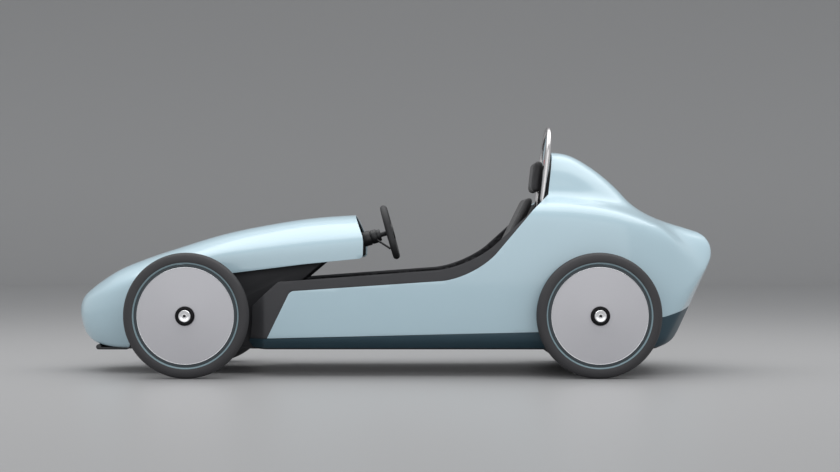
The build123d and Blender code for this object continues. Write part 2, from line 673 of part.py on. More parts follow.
# Steering box on the bulkhead, with the pitman arm below it
box_x = (BULKHEAD_X - BOX_SIZE[0], BULKHEAD_X)
gearbox = block(box_x, (-BOX_SIZE[1] / 2, BOX_SIZE[1] / 2), (BOX_LOW_Z, BOX_LOW_Z + BOX_SIZE[2]))
gearbox = fillet(gearbox.edges().filter_by(Axis.X), BOX_ROUND)
shaft_length = (YOKE_POINT.X - BULKHEAD_X) / COLUMN_DIRECTION.X + BOX_SIZE[0] / 3
shaft_bore = along_column(-shaft_length - END_CLEAR, 0.0, SHAFT_R + RUNNING_FIT)
bore_top = BOX_LOW_Z + BOX_BORE
pitman_bore = upright_bar(FRONT_AXLE_X, 0, 0, bore_top, PITMAN_SHAFT_R + RUNNING_FIT)
write("steering_gearbox", gearbox - shaft_bore - pitman_bore)

pitman_low = eye_high + ROD_GAP
pitman_high = pitman_low + PITMAN_THICKNESS
pitman = block((ARM_X, FRONT_AXLE_X), (-ARM_WIDTH / 2, ARM_WIDTH / 2), (pitman_low, pitman_high))
for x in (ARM_X, FRONT_AXLE_X):
    pitman += upright_bar(x, 0, pitman_low, pitman_high, ARM_WIDTH / 2)
pitman += upright_bar(FRONT_AXLE_X, 0, pitman_low, bore_top - END_CLEAR, PITMAN_SHAFT_R)
pitman += upright_bar(ARM_X, 0, eye_low, pitman_low, ROD_PIN_R)
write("pitman_arm", pitman)

# Yoke, shaft and fixed column tube
write("steering_shaft", along_column(-shaft_length, 0.0, SHAFT_R))
column = along_column(COLUMN_FROM, COLUMN_TO, COLUMN_R)
column -= along_column(-shaft_length, 0.0, SHAFT_R + RUNNING_FIT)
write("steering_column_tube", column)

half_wide = YOKE_WIDTH / 2 - GRIP_R
half_tall = YOKE_HEIGHT / 2 - GRIP_R
rim_right = [(half_wide, -half_tall), (half_wide, half_tall)]
rim_corners = rim_right + [(-y, z) for y, z in reversed(rim_right)]
rim_path = FilletPolyline(*rim_corners, radius=YOKE_CORNER_R, close=True)
rim_start = Plane(rim_path @ 0, z_dir=rim_path % 0)
yoke = sweep(rim_start * Circle(GRIP_R), path=rim_path)
yoke += Cylinder(YOKE_HUB_R, YOKE_HUB_DEPTH)
yoke += Box(2 * half_wide, SPOKE_WIDTH, SPOKE_THICKNESS)
yoke += Pos(0, -half_tall / 2, 0) * Box(SPOKE_WIDTH, half_tall, SPOKE_THICKNESS)
yoke -= Pos(0, 0, -YOKE_HUB_DEPTH) * Cylinder(SHAFT_R, YOKE_HUB_DEPTH, align=UPRIGHT)
write("steering_yoke", COLUMN_PLANE * yoke)

# Seat: a bent shell, two pads, headrest and the hoop behind
back_run = Vector(SEAT_BACK_TOP[0] - SEAT_BACK_LOW[0], SEAT_BACK_TOP[1] - SEAT_BACK_LOW[1]).normalized()
back_normal = Vector(back_run.Y, -back_run.X)
base_run = Vector(SEAT_BACK_LOW[0] - SEAT_FRONT[0], SEAT_BACK_LOW[1] - SEAT_FRONT[1]).normalized()
base_normal = Vector(base_run.Y, -base_run.X)


def shifted(point, *moves):
    """A side point moved by (direction, distance) pairs."""
    moved = Vector(*point)
    for direction, distance in moves:
        moved += direction * distance
    return (moved.X, moved.Y)


def seat_pad(front_or_low, far, run, normal, trim):
    """A flat cushion along one face of the seat, with soft edges."""
    corners = [
        shifted(front_or_low, (run, trim)),
        shifted(far),
        shifted(far, (normal, SEAT_PAD)),
        shifted(front_or_low, (run, trim), (normal, SEAT_PAD)),
    ]
    return side_prism(corners, [SEAT_PAD / 3] * 4, SEAT_HALF - SEAT_SHELL_WALL)


write("seat_back_pad", seat_pad(SEAT_BACK_LOW, SEAT_BACK_TOP, back_run, back_normal, SEAT_PAD / 2))
base_far = shifted(SEAT_BACK_LOW, (base_run, -SEAT_PAD / 2))
write("seat_base_pad", seat_pad(SEAT_FRONT, base_far, base_run, base_normal, 0.0))

under = SEAT_PAD + SEAT_GAP
seat_profile = [
    shifted(SEAT_FRONT, (base_normal, under)),
    shifted(SEAT_BACK_LOW, (base_normal, under), (base_run, SEAT_PAD)),
    shifted(SEAT_BACK_LOW, (back_normal, under), (back_run, SEAT_PAD)),
    shifted(SEAT_BACK_TOP, (back_normal, under), (back_run, -SEAT_PAD)),
    shifted(SEAT_BACK_TOP, (back_normal, under + SEAT_SHELL_WALL), (back_run, -SEAT_PAD)),
    shifted(SEAT_BACK_LOW, (back_normal, under + SEAT_SHELL_WALL), (back_run, SEAT_PAD / 2)),
    shifted(SEAT_BACK_LOW, (base_normal, under + SEAT_SHELL_WALL), (base_run, SEAT_PAD)),
    shifted(SEAT_FRONT, (base_normal, under + SEAT_SHELL_WALL)),
]
seat_shell = side_prism(seat_profile, [0.0] * 8, SEAT_HALF)
for side in (-1, 1):
    foot = sorted((side * (SEAT_HALF - SEAT_FOOT), side * SEAT_HALF))
    foot_x = (SEAT_FRONT[0] + SEAT_FOOT, SEAT_BACK_LOW[0])
    seat_shell += block(foot_x, foot, (FLOOR_TOP, SEAT_BACK_LOW[1] - under))
write("seat_shell", seat_shell)

hoop_axis_top = HOOP_TOP_Z - HOOP_R


def hoop_x(z):
    """The leaning hoop's axis at a height."""
    return SEAT_BULKHEAD_X - HOOP_AHEAD + HOOP_LEAN * (z - COCKPIT_TOP[1])


hoop_plane = Plane((hoop_x(FLOOR_TOP), 0, FLOOR_TOP), x_dir=(0, 1, 0), z_dir=(1.0, 0, -HOOP_LEAN))
hoop_tall = (hoop_axis_top - FLOOR_TOP) * math.sqrt(1 + HOOP_LEAN**2)
hoop_corners = [(-HOOP_HALF, 0), (-HOOP_HALF, hoop_tall), (HOOP_HALF, hoop_tall), (HOOP_HALF, 0)]
hoop_line = FilletPolyline(*hoop_corners, radius=HOOP_BEND_R)
hoop_path = hoop_plane * hoop_line
hoop = sweep(Plane(hoop_path @ 0, z_dir=hoop_path % 0) * Circle(HOOP_R), path=hoop_path)
for side in (-1, 1):
    hoop += upright_bar(hoop_x(FLOOR_TOP), side * HOOP_HALF, FLOOR_TOP, FLOOR_TOP + HOOP_FOOT, HOOP_FOOT_R)
hoop -= block((-ALONG_ALL, ALONG_ALL), (-BESIDE_ALL, BESIDE_ALL), (0.0, FLOOR_TOP))
hoop += cross_bar(hoop_x(CROSS_TUBE_Z), CROSS_TUBE_Z, -HOOP_HALF, HOOP_HALF, CROSS_TUBE_R)
write("roll_hoop", hoop)

pad_back = [(hoop_x(z) - CROSS_TUBE_R - SEAT_GAP, z) for z in (HEADREST_LOW_Z, HEADREST_HIGH_Z)]
pad_face = [(x - HEADREST_PAD, z) for x, z in reversed(pad_back)]
pad_radii = [HEADREST_BACK_R, HEADREST_BACK_R, HEADREST_PAD / 3, HEADREST_PAD / 3]
headrest = side_prism(pad_back + pad_face, pad_radii, HEADREST_HALF)
write("headrest_pad", headrest)
lamp_low = CROSS_TUBE_Z + CROSS_TUBE_R + SEAT_GAP
lamp_x = hoop_x(CROSS_TUBE_Z) + LAMP_R
write("marker_lamp", upright_bar(lamp_x, 0, lamp_low, lamp_low + LAMP_HEIGHT, LAMP_R))

# Pedal drive
unit = cross_bar(CRANK_X, CRANK_Z, -UNIT_HALF, UNIT_HALF, UNIT_R)
pedestal_x = (CRANK_X - PEDESTAL_LENGTH / 2, CRANK_X + PEDESTAL_LENGTH / 2)
unit += block(pedestal_x, (-PEDESTAL_HALF, PEDESTAL_HALF), (FLOOR_TOP, CRANK_Z))
unit -= cross_bar(CRANK_X, CRANK_Z, -UNIT_HALF, UNIT_HALF, SPINDLE_R + RUNNING_FIT)
write("drive_unit", unit)

tunnel_x = (pedestal_x[1] + SEAT_GAP, SEAT_BULKHEAD_X - SEAT_GAP)
tunnel = block(tunnel_x, (-TUNNEL_HALF, TUNNEL_HALF), (FLOOR_TOP, FLOOR_TOP + TUNNEL_HEIGHT))
write("drive_tunnel", tunnel)

arm_in = CRANK_ARM_Y
arm_out = CRANK_ARM_Y + CRANK_ARM_THICKNESS
pedal_from = arm_out + PEDAL_GAP
crankset = cross_bar(CRANK_X, CRANK_Z, -arm_out, arm_out, SPINDLE_R)
for name, side in (("left", -1), ("right", 1)):
    pin_x = CRANK_X + side * CRANK_LENGTH
    span = sorted((side * arm_in, side * arm_out))
    low_x, high_x = sorted((CRANK_X, pin_x))
    crankset += block((low_x, high_x), span, (CRANK_Z - CRANK_ARM_WIDTH / 2, CRANK_Z + CRANK_ARM_WIDTH / 2))
    for x in (CRANK_X, pin_x):
        crankset += cross_bar(x, CRANK_Z, *span, CRANK_ARM_WIDTH / 2)
    pin = sorted((side * arm_out, side * (pedal_from + PEDAL_WIDTH - PEDAL_END - END_CLEAR)))
    crankset += cross_bar(pin_x, CRANK_Z, *pin, PEDAL_PIN_R)
    width = sorted((side * pedal_from, side * (pedal_from + PEDAL_WIDTH)))
    pedal = block(
        (pin_x - PEDAL_LENGTH / 2, pin_x + PEDAL_LENGTH / 2),
        width,
        (CRANK_Z - PEDAL_THICKNESS / 2, CRANK_Z + PEDAL_THICKNESS / 2),
    )
    bore = sorted((side * pedal_from, side * (pedal_from + PEDAL_WIDTH - PEDAL_END)))
    write(f"pedal_{name}", pedal - cross_bar(pin_x, CRANK_Z, *bore, PEDAL_PIN_R + RUNNING_FIT))
write("crankset", crankset)

# Rear axle on two hangers, and the battery ahead of it
rear_axle = cross_bar(REAR_AXLE_X, AXLE_Z, -stub_end, stub_end, STUB_R)
rear_axle += cross_bar(REAR_AXLE_X, AXLE_Z, -shoulder_end, shoulder_end, REAR_AXLE_R)
for side in (-1, 1):
    hanger = sorted((side * HANGER_Y, side * (HANGER_Y + HANGER_THICKNESS)))
    hanger_x = (REAR_AXLE_X - HANGER_LENGTH / 2, REAR_AXLE_X + HANGER_LENGTH / 2)
    rear_axle += block(hanger_x, hanger, (FLOOR_TOP, AXLE_Z + REAR_AXLE_R))
write("rear_axle", rear_axle)
battery_x = SEAT_BULKHEAD_X + SEAT_BULKHEAD_THICKNESS + SEAT_GAP
write(
    "battery_pack",
    block(
        (battery_x, battery_x + BATTERY_SIZE[0]),
        (-BATTERY_SIZE[1] / 2, BATTERY_SIZE[1] / 2),
        (FLOOR_TOP, FLOOR_TOP + BATTERY_SIZE[2]),
    ),
)
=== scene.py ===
# %% [markdown]
# # Dressing a pedal car in Blender
#
# The car is a long single-seater on four bicycle-size wheels: a pale blue hood, a dark open tub,
# pale blue sides that run into a tail with a headrest hump, and silver disc wheels outside the body.
# Its solids are already exact, with every joint. This lesson loads them as a fixed frame and gives
# each piece the smooth surface and the finish that the real one has. Sizes are written in
# millimetres, as in a workshop drawing, and turned into metres with MM.

# %% Load the frame
import math

import bmesh
import bpy
from mathutils import Matrix, Vector


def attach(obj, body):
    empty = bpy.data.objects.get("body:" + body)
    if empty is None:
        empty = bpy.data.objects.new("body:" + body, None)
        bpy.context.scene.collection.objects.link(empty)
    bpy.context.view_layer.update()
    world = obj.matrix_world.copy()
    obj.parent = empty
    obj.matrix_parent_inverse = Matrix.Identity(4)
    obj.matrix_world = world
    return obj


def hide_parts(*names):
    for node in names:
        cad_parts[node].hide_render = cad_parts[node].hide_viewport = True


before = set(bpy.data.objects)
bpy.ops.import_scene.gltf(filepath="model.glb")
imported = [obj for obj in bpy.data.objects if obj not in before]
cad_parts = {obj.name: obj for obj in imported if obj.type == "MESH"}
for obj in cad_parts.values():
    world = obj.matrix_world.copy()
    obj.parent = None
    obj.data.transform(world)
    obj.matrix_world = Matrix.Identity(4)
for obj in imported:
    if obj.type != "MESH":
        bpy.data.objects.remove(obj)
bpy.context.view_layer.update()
MM = 0.001

# %% [markdown]
# ## Camera
#
# The picture is a plain side view from about six metres, at cockpit height. A camera that looks
# straight along +Y keeps upright things upright, and a longish lens keeps the far wheels close
# behind the near ones.

# %% Set the camera
CAMERA_PLACE = (0.1045, -6.0, 0.573)
LENS = 59.8
camera_data = bpy.data.cameras.new("side_camera")
camera_data.lens = LENS
camera_data.sensor_width = 36.0
camera = bpy.data.objects.new("side_camera", camera_data)
camera.location = CAMERA_PLACE
camera.rotation_euler = (math.radians(90), 0, 0)
bpy.context.collection.objects.link(camera)
bpy.context.scene.camera = camera
print("camera at", CAMERA_PLACE)

# %% [markdown]
# ## Floor, backdrop and light
#
# A studio sweep is one sheet: floor, a curve, and a wall. It is made by extruding one edge and
# rounding the fold with a bevel. A large soft lamp overhead makes the tops bright, as in a photo
# studio, and a wider one far behind the camera lights the side evenly.

# %% Build the studio
SWEEP_HALF = 17.0
WALL_Y = 14.0
WALL_HEIGHT = 11.0
FOLD_SETBACK = 4.0


def bare_object(bm, name):
    """A linked object from a bmesh, with nothing declared yet."""
    mesh = bpy.data.meshes.new(name)
    bm.to_mesh(mesh)
    bm.free()
    piece = bpy.data.objects.new(name, mesh)
    bpy.context.collection.objects.link(piece)
    return piece


def studio_material():
    """Pale grey paint with a faint gloss, as on a studio floor."""
    material = bpy.data.materials.new("studio_paint")
    material.use_nodes = True
    shader = material.node_tree.nodes["Principled BSDF"]
    shader.inputs["Base Color"].default_value = (0.38, 0.378, 0.38, 1)
    shader.inputs["Roughness"].default_value = 0.42
    shader.inputs["Specular IOR Level"].default_value = 0.3
    return material


bm = bmesh.new()
ends = [bm.verts.new((x, -SWEEP_HALF, 0)) for x in (-SWEEP_HALF, SWEEP_HALF)]
front_edge = bm.edges.new(ends)
floor_geom = bmesh.ops.extrude_edge_only(bm, edges=[front_edge])["geom"]
back = [v for v in floor_geom if isinstance(v, bmesh.types.BMVert)]
bmesh.ops.translate(bm, verts=back, vec=(0, SWEEP_HALF + WALL_Y, 0))
fold = [e for e in floor_geom if isinstance(e, bmesh.types.BMEdge) and all(v in back for v in e.verts)]
wall_geom = bmesh.ops.extrude_edge_only(bm, edges=fold)["geom"]
top = [v for v in wall_geom if isinstance(v, bmesh.types.BMVert)]
bmesh.ops.translate(bm, verts=top, vec=(0, 0, WALL_HEIGHT))
bmesh.ops.bevel(bm, geom=fold, offset=FOLD_SETBACK, segments=24, profile=0.5, affect="EDGES", material=-1)
sweep = bare_object(bm, "studio_sweep")
sweep.data.shade_smooth()
sweep.data.materials.append(studio_material())

LAMPS = [
    # name, place, aim, width, depth, power
    ("softbox_top", (0.1, 0.2, 3.8), (0.1, 0.0, 0.0), 7.5, 4.0, 165.0),
    ("softbox_side", (0.1, -12.0, 4.5), (0.1, 0.0, 0.4), 18.0, 9.0, 380.0),
]
for name, place, aim, width, depth, power in LAMPS:
    lamp_data = bpy.data.lights.new(name, "AREA")
    lamp_data.shape = "RECTANGLE"
    lamp_data.size = width
    lamp_data.size_y = depth
    lamp_data.energy = power
    lamp = bpy.data.objects.new(name, lamp_data)
    lamp.location = place
    lamp.rotation_euler = (Vector(aim) - Vector(place)).to_track_quat("-Z", "Y").to_euler()
    bpy.context.collection.objects.link(lamp)

world = bpy.data.worlds.new("studio_world")
world.use_nodes = True
sky = world.node_tree.nodes["Background"]
sky.inputs["Color"].default_value = (0.8, 0.82, 0.84, 1)
sky.inputs["Strength"].default_value = 0.78
bpy.context.scene.world = world
bpy.context.scene.view_settings.view_transform = "Standard"
print("lamps:", [row[0] for row in LAMPS])

# %% [markdown]
# ## Shared finishes
#
# No real surface is one flat colour. Paint has a faint orange peel, moulded plastic a fine grain,
# and rubber a dusty bloom. One node group makes that grain: noise at the piece's own scale that
# shifts the colour a little, the roughness a little, and gives a height for a bump. Every material
# uses the group with its own values, so the grain is written once.

# %% Make the grain group


def add_sockets(tree, direction, **kinds):
    """Named inputs or outputs on a node group."""
    for name, kind in kinds.items():
        tree.interface.new_socket(name=name, in_out=direction, socket_type=f"NodeSocket{kind}")


def math_node(tree, operation, *values):
    """A Math node's output; each value is a socket or a number."""
    node = tree.nodes.new("ShaderNodeMath")
    node.operation = operation
    for socket, value in zip(node.inputs, values):
        if isinstance(value, (int, float)):
            socket.default_value = value
        else:
            tree.links.new(value, socket)
    return node.outputs[0]


def grain_group():
    """Fine and broad noise that shifts colour and roughness and gives a bump height."""
    tree = bpy.data.node_groups.new("surface_grain", "ShaderNodeTree")
    add_sockets(tree, "INPUT", Vector="Vector", Color="Color", Scale="Float", Variation="Float", Roughness="Float")
    add_sockets(tree, "OUTPUT", Color="Color", Roughness="Float", Height="Float")
    nodes, links = tree.nodes, tree.links
    source = nodes.new("NodeGroupInput")
    result = nodes.new("NodeGroupOutput")
    fine = nodes.new("ShaderNodeTexNoise")
    fine.inputs["Detail"].default_value = 3.0
    broad = nodes.new("ShaderNodeTexNoise")
    broad.inputs["Scale"].default_value = 7.0
    broad.inputs["Detail"].default_value = 4.0
    links.new(source.outputs["Vector"], fine.inputs["Vector"])
    links.new(source.outputs["Vector"], broad.inputs["Vector"])
    links.new(source.outputs["Scale"], fine.inputs["Scale"])
    both = math_node(tree, "ADD", fine.outputs["Fac"], broad.outputs["Fac"])
    centred = math_node(tree, "SUBTRACT", both, 1.0)
    shift = math_node(tree, "MULTIPLY_ADD", centred, source.outputs["Variation"], 1.0)
    tint = nodes.new("ShaderNodeVectorMath")
    tint.operation = "SCALE"
    links.new(source.outputs["Color"], tint.inputs[0])
    links.new(shift, tint.inputs["Scale"])
    rough = math_node(tree, "MULTIPLY", source.outputs["Roughness"], shift)
    rough.node.use_clamp = True
    links.new(tint.outputs[0], result.inputs["Color"])
    links.new(rough, result.inputs["Roughness"])
    links.new(fine.outputs["Fac"], result.inputs["Height"])
    return tree


GRAIN = grain_group()
print("group sockets:", [item.name for item in GRAIN.interface.items_tree])

# %% [markdown]
# A finish is then one row of a table: its colour, how rough it is, the size of its grain and how
# deep it stands. Coat is the clear lacquer over the body paint, and metallic turns plastic to metal.

# %% Make the finishes


def start_material(name, colour, roughness, grain, variation, bump, metallic=0.0, coat=0.0):
    """A material whose colour, roughness and bump come from the grain group."""
    material = bpy.data.materials.new(name)
    material.use_nodes = True
    nodes, links = material.node_tree.nodes, material.node_tree.links
    shader = nodes["Principled BSDF"]
    place = nodes.new("ShaderNodeTexCoord")
    place.name = "place"
    texture = nodes.new("ShaderNodeGroup")
    texture.node_tree = GRAIN
    texture.name = "grain"
    texture.inputs["Color"].default_value = (*colour, 1)
    texture.inputs["Scale"].default_value = grain
    texture.inputs["Variation"].default_value = variation
    texture.inputs["Roughness"].default_value = roughness
    links.new(place.outputs["Object"], texture.inputs["Vector"])
    links.new(texture.outputs["Color"], shader.inputs["Base Color"])
    links.new(texture.outputs["Roughness"], shader.inputs["Roughness"])
    relief = nodes.new("ShaderNodeBump")
    relief.name = "relief"
    relief.inputs["Strength"].default_value = bump
    relief.inputs["Distance"].default_value = 0.0004
    links.new(texture.outputs["Height"], relief.inputs["Height"])
    links.new(relief.outputs["Normal"], shader.inputs["Normal"])
    shader.inputs["Metallic"].default_value = metallic
    shader.inputs["Coat Weight"].default_value = coat
    shader.inputs["Coat Roughness"].default_value = 0.12
    return material


FINISHES = [
    # name, colour, roughness, grain scale, variation, bump, metallic and coat if not 0
    ("body_blue", (0.445, 0.600, 0.672), 0.36, 260.0, 0.03, 0.02, 0.0, 0.9),
    ("trim_teal", (0.019, 0.051, 0.072), 0.42, 420.0, 0.10, 0.05),
    ("tub_dark", (0.040, 0.040, 0.044), 0.55, 900.0, 0.22, 0.35),
    # the inside finish is the tub's dark made darker still: painted shade for the cockpit's inside, the footwell
    # and the hood's underside
    ("inner_painted_shade", (0.014, 0.014, 0.017), 0.66, 700.0, 0.25, 0.35),
    ("black_plastic", (0.022, 0.022, 0.024), 0.42, 1100.0, 0.20, 0.30),
    ("grip_rubber", (0.030, 0.030, 0.032), 0.62, 1500.0, 0.25, 0.60),
    ("black_steel", (0.035, 0.035, 0.038), 0.38, 500.0, 0.15, 0.10, 0.3),
    ("rim_grey", (0.030, 0.042, 0.050), 0.34, 500.0, 0.12, 0.05, 0.2, 0.2),
    ("stripe_blue", (0.22, 0.31, 0.345), 0.50, 500.0, 0.10, 0.10),
    ("edge_bright", (0.78, 0.78, 0.80), 0.22, 500.0, 0.06, 0.02, 1.0),
    ("hub_black", (0.004, 0.004, 0.005), 0.22, 600.0, 0.10, 0.03),
    ("cap_bright", (0.82, 0.82, 0.83), 0.16, 500.0, 0.06, 0.02, 1.0),
    ("crank_alloy", (0.55, 0.55, 0.56), 0.32, 500.0, 0.10, 0.05, 1.0),
    ("unit_alloy", (0.075, 0.075, 0.080), 0.45, 600.0, 0.18, 0.30, 0.4),
    ("lamp_red", (0.50, 0.015, 0.03), 0.15, 300.0, 0.06, 0.02, 0.0, 0.6),
]
FINISH = {row[0]: start_material(*row) for row in FINISHES}
# The hubs are a deep black that mirrors little.
hub_shader = FINISH["hub_black"].node_tree.nodes["Principled BSDF"]
hub_shader.inputs["Specular IOR Level"].default_value = 0.15
print("finishes:", len(FINISH))

# %% [markdown]
# ## Helpers for pieces
#
# A finished piece sits at the origin with its place in its mesh, as bare_object makes it. These
# helpers finish its mesh, tie it to the body that it moves with, and hide the solids it stands for.
# Edges sharper than a given angle stay crisp and everything else is shaded smooth.

# %% Write the helpers


def bake(piece):
    """Applies the piece's modifiers to its mesh."""
    graph = bpy.context.evaluated_depsgraph_get()
    baked = bpy.data.meshes.new_from_object(piece.evaluated_get(graph))
    piece.modifiers.clear()
    piece.data = baked


def declare(piece, body, finish, nodes=(), sharp=38.0):
    """Shades a piece, gives it its finish, ties it to its body and hides the solids it stands for."""
    piece.data.shade_smooth()
    piece.data.set_sharp_from_angle(angle=math.radians(sharp))
    piece.data.materials.clear()
    piece.data.materials.append(finish)
    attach(piece, body)
    if nodes:
        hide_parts(*nodes)
    print(piece.name, len(piece.data.polygons), "faces on", body)


def soften(piece, width, segments=2, angle=40.0):
    """Rounds a piece's sharp edges a little, as moulded and machined edges are."""
    rounding = piece.modifiers.new("edge_round", "BEVEL")
    rounding.width = width
    rounding.segments = segments
    rounding.limit_method = "ANGLE"
    rounding.angle_limit = math.radians(angle)
    bake(piece)


def subdivide(piece):
    """Rounds a piece by one level of subdivision."""
    fair = piece.modifiers.new("fair", "SUBSURF")
    fair.levels = fair.render_levels = 1
    bake(piece)


def close_up(bm, merge=0.0001):
    """Merges a drawn shape's doubles, fills its open ends and turns its faces outwards."""
    bmesh.ops.remove_doubles(bm, verts=bm.verts, dist=merge)
    bmesh.ops.holes_fill(bm, edges=[e for e in bm.edges if e.is_boundary])
    bmesh.ops.recalc_face_normals(bm, faces=bm.faces)


def add_box(bm, low, high):
    """A box between two corners."""
    verts = bmesh.ops.create_cube(bm, size=1.0)["verts"]
    bmesh.ops.scale(bm, vec=[(b - a) * MM for a, b in zip(low, high)], verts=verts)
    bmesh.ops.translate(bm, vec=[(a + b) / 2 * MM for a, b in zip(low, high)], verts=verts)


# %% [markdown]
# ## The body's form
#
# The body is a loft: sections every few centimetres from a table of stations. Each section starts
# as a circle of vertices that is moved onto the section's outline, and bridge_loops joins it to its
# neighbour. A cubic through the table's rows keeps the sides fair between stations, because a
# straight join would show as a crease in glossy paint.

# %% Write the loft tools


def fair_row(rows, x):
    """The table's row at any station, on a cubic through its neighbours."""
    index = 0
    while index < len(rows) - 2 and rows[index + 1][0] <= x:
        index += 1
    low, high = rows[index], rows[index + 1]
    before = rows[max(index - 1, 0)]
    after = rows[min(index + 2, len(rows) - 1)]
    run = high[0] - low[0]
    t = min(max((x - low[0]) / run, 0.0), 1.0)
    found = []
    for a, b, p, q in zip(low[1:], high[1:], before[1:], after[1:]):
        lean_a = (b - p) / (high[0] - before[0]) * run
        lean_b = (q - a) / (after[0] - low[0]) * run
        found.append(
            a * (1 + 2 * t) * (1 - t) ** 2 + lean_a * t * (1 - t) ** 2
            + b * t * t * (3 - 2 * t) + lean_b * t * t * (t - 1)
        )
    return found


def run_points(start, end, count):
    """Points along a straight run, without its start."""
    return [tuple(Vector(start).lerp(Vector(end), (k + 1) / count)) for k in range(count)]


def arc_points(start, middle, end, count):
    """Points along the circle through three points, without its start."""
    a, b, c = Vector(start), Vector(middle), Vector(end)
    cross = (b.x - a.x) * (c.y - a.y) - (b.y - a.y) * (c.x - a.x)
    if abs(cross) < 1e-6:
        return run_points(start, end, count)
    ab, ac = (b - a).length_squared, (c - a).length_squared
    centre = a + Vector((
        ((c.y - a.y) * ab - (b.y - a.y) * ac) / (2 * cross),
        ((b.x - a.x) * ac - (c.x - a.x) * ab) / (2 * cross),
    ))
    first = (a - centre).to_2d()
    turn = first.angle_signed((b - centre).to_2d()) + (b - centre).to_2d().angle_signed((c - centre).to_2d())
    found = []
    for k in range(count):
        arm = first.copy()
        arm.rotate(Matrix.Rotation(-turn * (k + 1) / count, 2))
        found.append((centre.x + arm.x, centre.y + arm.y))
    return found


def ease(points, first, last, passes):
    """Softens an outline's corners between two of its indices."""
    for _ in range(passes):
        points = points[:first] + [
            tuple((points[k - 1][c] + 2 * points[k][c] + points[k + 1][c]) / 4 for c in (0, 1))
            for k in range(first, last)
        ] + points[last:]
    return points


def loft(rings, name):
    """A closed form bridged through rings of (x, y, z) points, its ends filled."""
    bm = bmesh.new()
    last = None
    for ring in rings:
        verts = bmesh.ops.create_circle(bm, segments=len(ring))["verts"]
        for vert, point in zip(verts, ring):
            vert.co = Vector(point) * MM
        edges = list({e for v in verts for e in v.link_edges if all(w in verts for w in e.verts)})
        if last:
            bmesh.ops.bridge_loops(bm, edges=last + edges)
        last = edges
    close_up(bm, 0.0002)
    piece = bare_object(bm, name)
    subdivide(piece)
    return piece


# %% [markdown]
# The main body's section has a flat floor, a sill that leans in, a bowed side, a shoulder and the
# headrest hump. Ahead of the cockpit the tub narrows in a straight line, to give the front wheels
# room to steer. Towards the tail the rings lean, so that the last one lies on the slanted end, which
# is bowed in plan, and a few more rings turn the edge in and close the end from side to side. At the
# tail's upper corner the rings crowd, and a little smoothing evens them out.

# %% Loft the main body
HULL_ROWS = [
    # x, waist, shoulder y, shoulder z, valley y, valley z, hump z
    (-535, 332, 300, 690, 160, 749, 932),
    (500, 337, 302, 690, 160, 749, 932),
    (690, 340, 302, 688, 158, 748, 930),
    (756, 340, 301, 684, 155, 743, 914),
    (833, 338, 298, 677, 150, 733, 869),
    (894, 334, 294, 668, 144, 720, 823),
    (948, 328, 288, 656, 138, 705, 773),
    (1000, 316, 277, 640, 128, 688, 716),
    (1060, 298, 261, 619, 118, 660, 674),
    (1140, 268, 234, 582, 112, 622, 639),
    (1240, 222, 192, 480, 106, 578, 608),
    (1400, 135, 112, 345, 80, 500, 558),
]
FRONT_ROW = (-640, 185, 177, 690, 150, 749, 932)
FLOOR_Z = 105.0
SILL_Z = 150.0
CHINE_INSET = 62
SILL_INSET = 14
# points on floor, sill, side, deck and half the hump, and the span in which corners are eased
STEPS = (5, 3, 18, 7, 10)
EASED = (20, 39)

SHEAR_FROM = 880.0
BOW_R = 470.0
END_ROUND = 26.0
TAIL_FOOT = (1174, 103)
TAIL_SLANT = 0.461
# the slanted part's lowest and highest z, and centre x, centre z and radius of the rounds beyond it
TAIL_FLAT = (167, 461.5)
TAIL_LOW = (1103.6, 213, 110.0)
TAIL_HIGH = (1250.0, 502.5, 98.0)
# above CROWN_Z a straight line takes the upper round's place
CROWN_X, CROWN_Z, CROWN_TOP, CROWN_SLOPE = 1294.1, 590, 605, 1.98
TAIL_RINGS = 18
SETTLE_PASSES = 20


def hull_row(x):
    """The section's sizes at any station; the tapered front is straight."""
    if x >= HULL_ROWS[0][0]:
        return fair_row(HULL_ROWS, x)
    share = (x - FRONT_ROW[0]) / (HULL_ROWS[0][0] - FRONT_ROW[0])
    return [a + (b - a) * share for a, b in zip(FRONT_ROW[1:], HULL_ROWS[0][1:])]


def hull_half(x):
    """Half a section of the main body, from the floor's middle to the hump's top."""
    waist, shoulder_y, shoulder_z, valley_y, valley_z, hump_z = hull_row(x)
    floor_n, sill_n, side_n, deck_n, hump_n = STEPS
    chine = (waist - CHINE_INSET, FLOOR_Z)
    sill = (waist - SILL_INSET, SILL_Z)
    shoulder = (shoulder_y, shoulder_z)
    valley = (valley_y, valley_z)
    widest = (waist, SILL_Z + (shoulder_z - SILL_Z) / 3)
    hump = arc_points(valley, (0, hump_z), (-valley_y, valley_z), 2 * hump_n)
    points = [(0.0, FLOOR_Z)] + run_points((0, FLOOR_Z), chine, floor_n)
    points += run_points(chine, sill, sill_n) + arc_points(sill, widest, shoulder, side_n)
    points += run_points(shoulder, valley, deck_n) + hump[:hump_n]
    return ease(points, *EASED, 3)


def bow(y):
    """How far the tail's bowed end lies ahead of its middle."""
    return BOW_R - math.sqrt(BOW_R**2 - y**2)


def tail_end_x(z):
    """Where the tail's slanted end lies at a height, with its rounded top and bottom."""
    if z > CROWN_Z:
        return CROWN_X - CROWN_SLOPE * (min(z, CROWN_TOP) - CROWN_Z)
    if not TAIL_FLAT[0] <= z <= TAIL_FLAT[1]:
        centre_x, centre_z, radius = TAIL_LOW if z < TAIL_FLAT[0] else TAIL_HIGH
        return centre_x + math.sqrt(max(radius**2 - (z - centre_z) ** 2, 0.0))
    return TAIL_FOOT[0] + (z - TAIL_FOOT[1]) * TAIL_SLANT


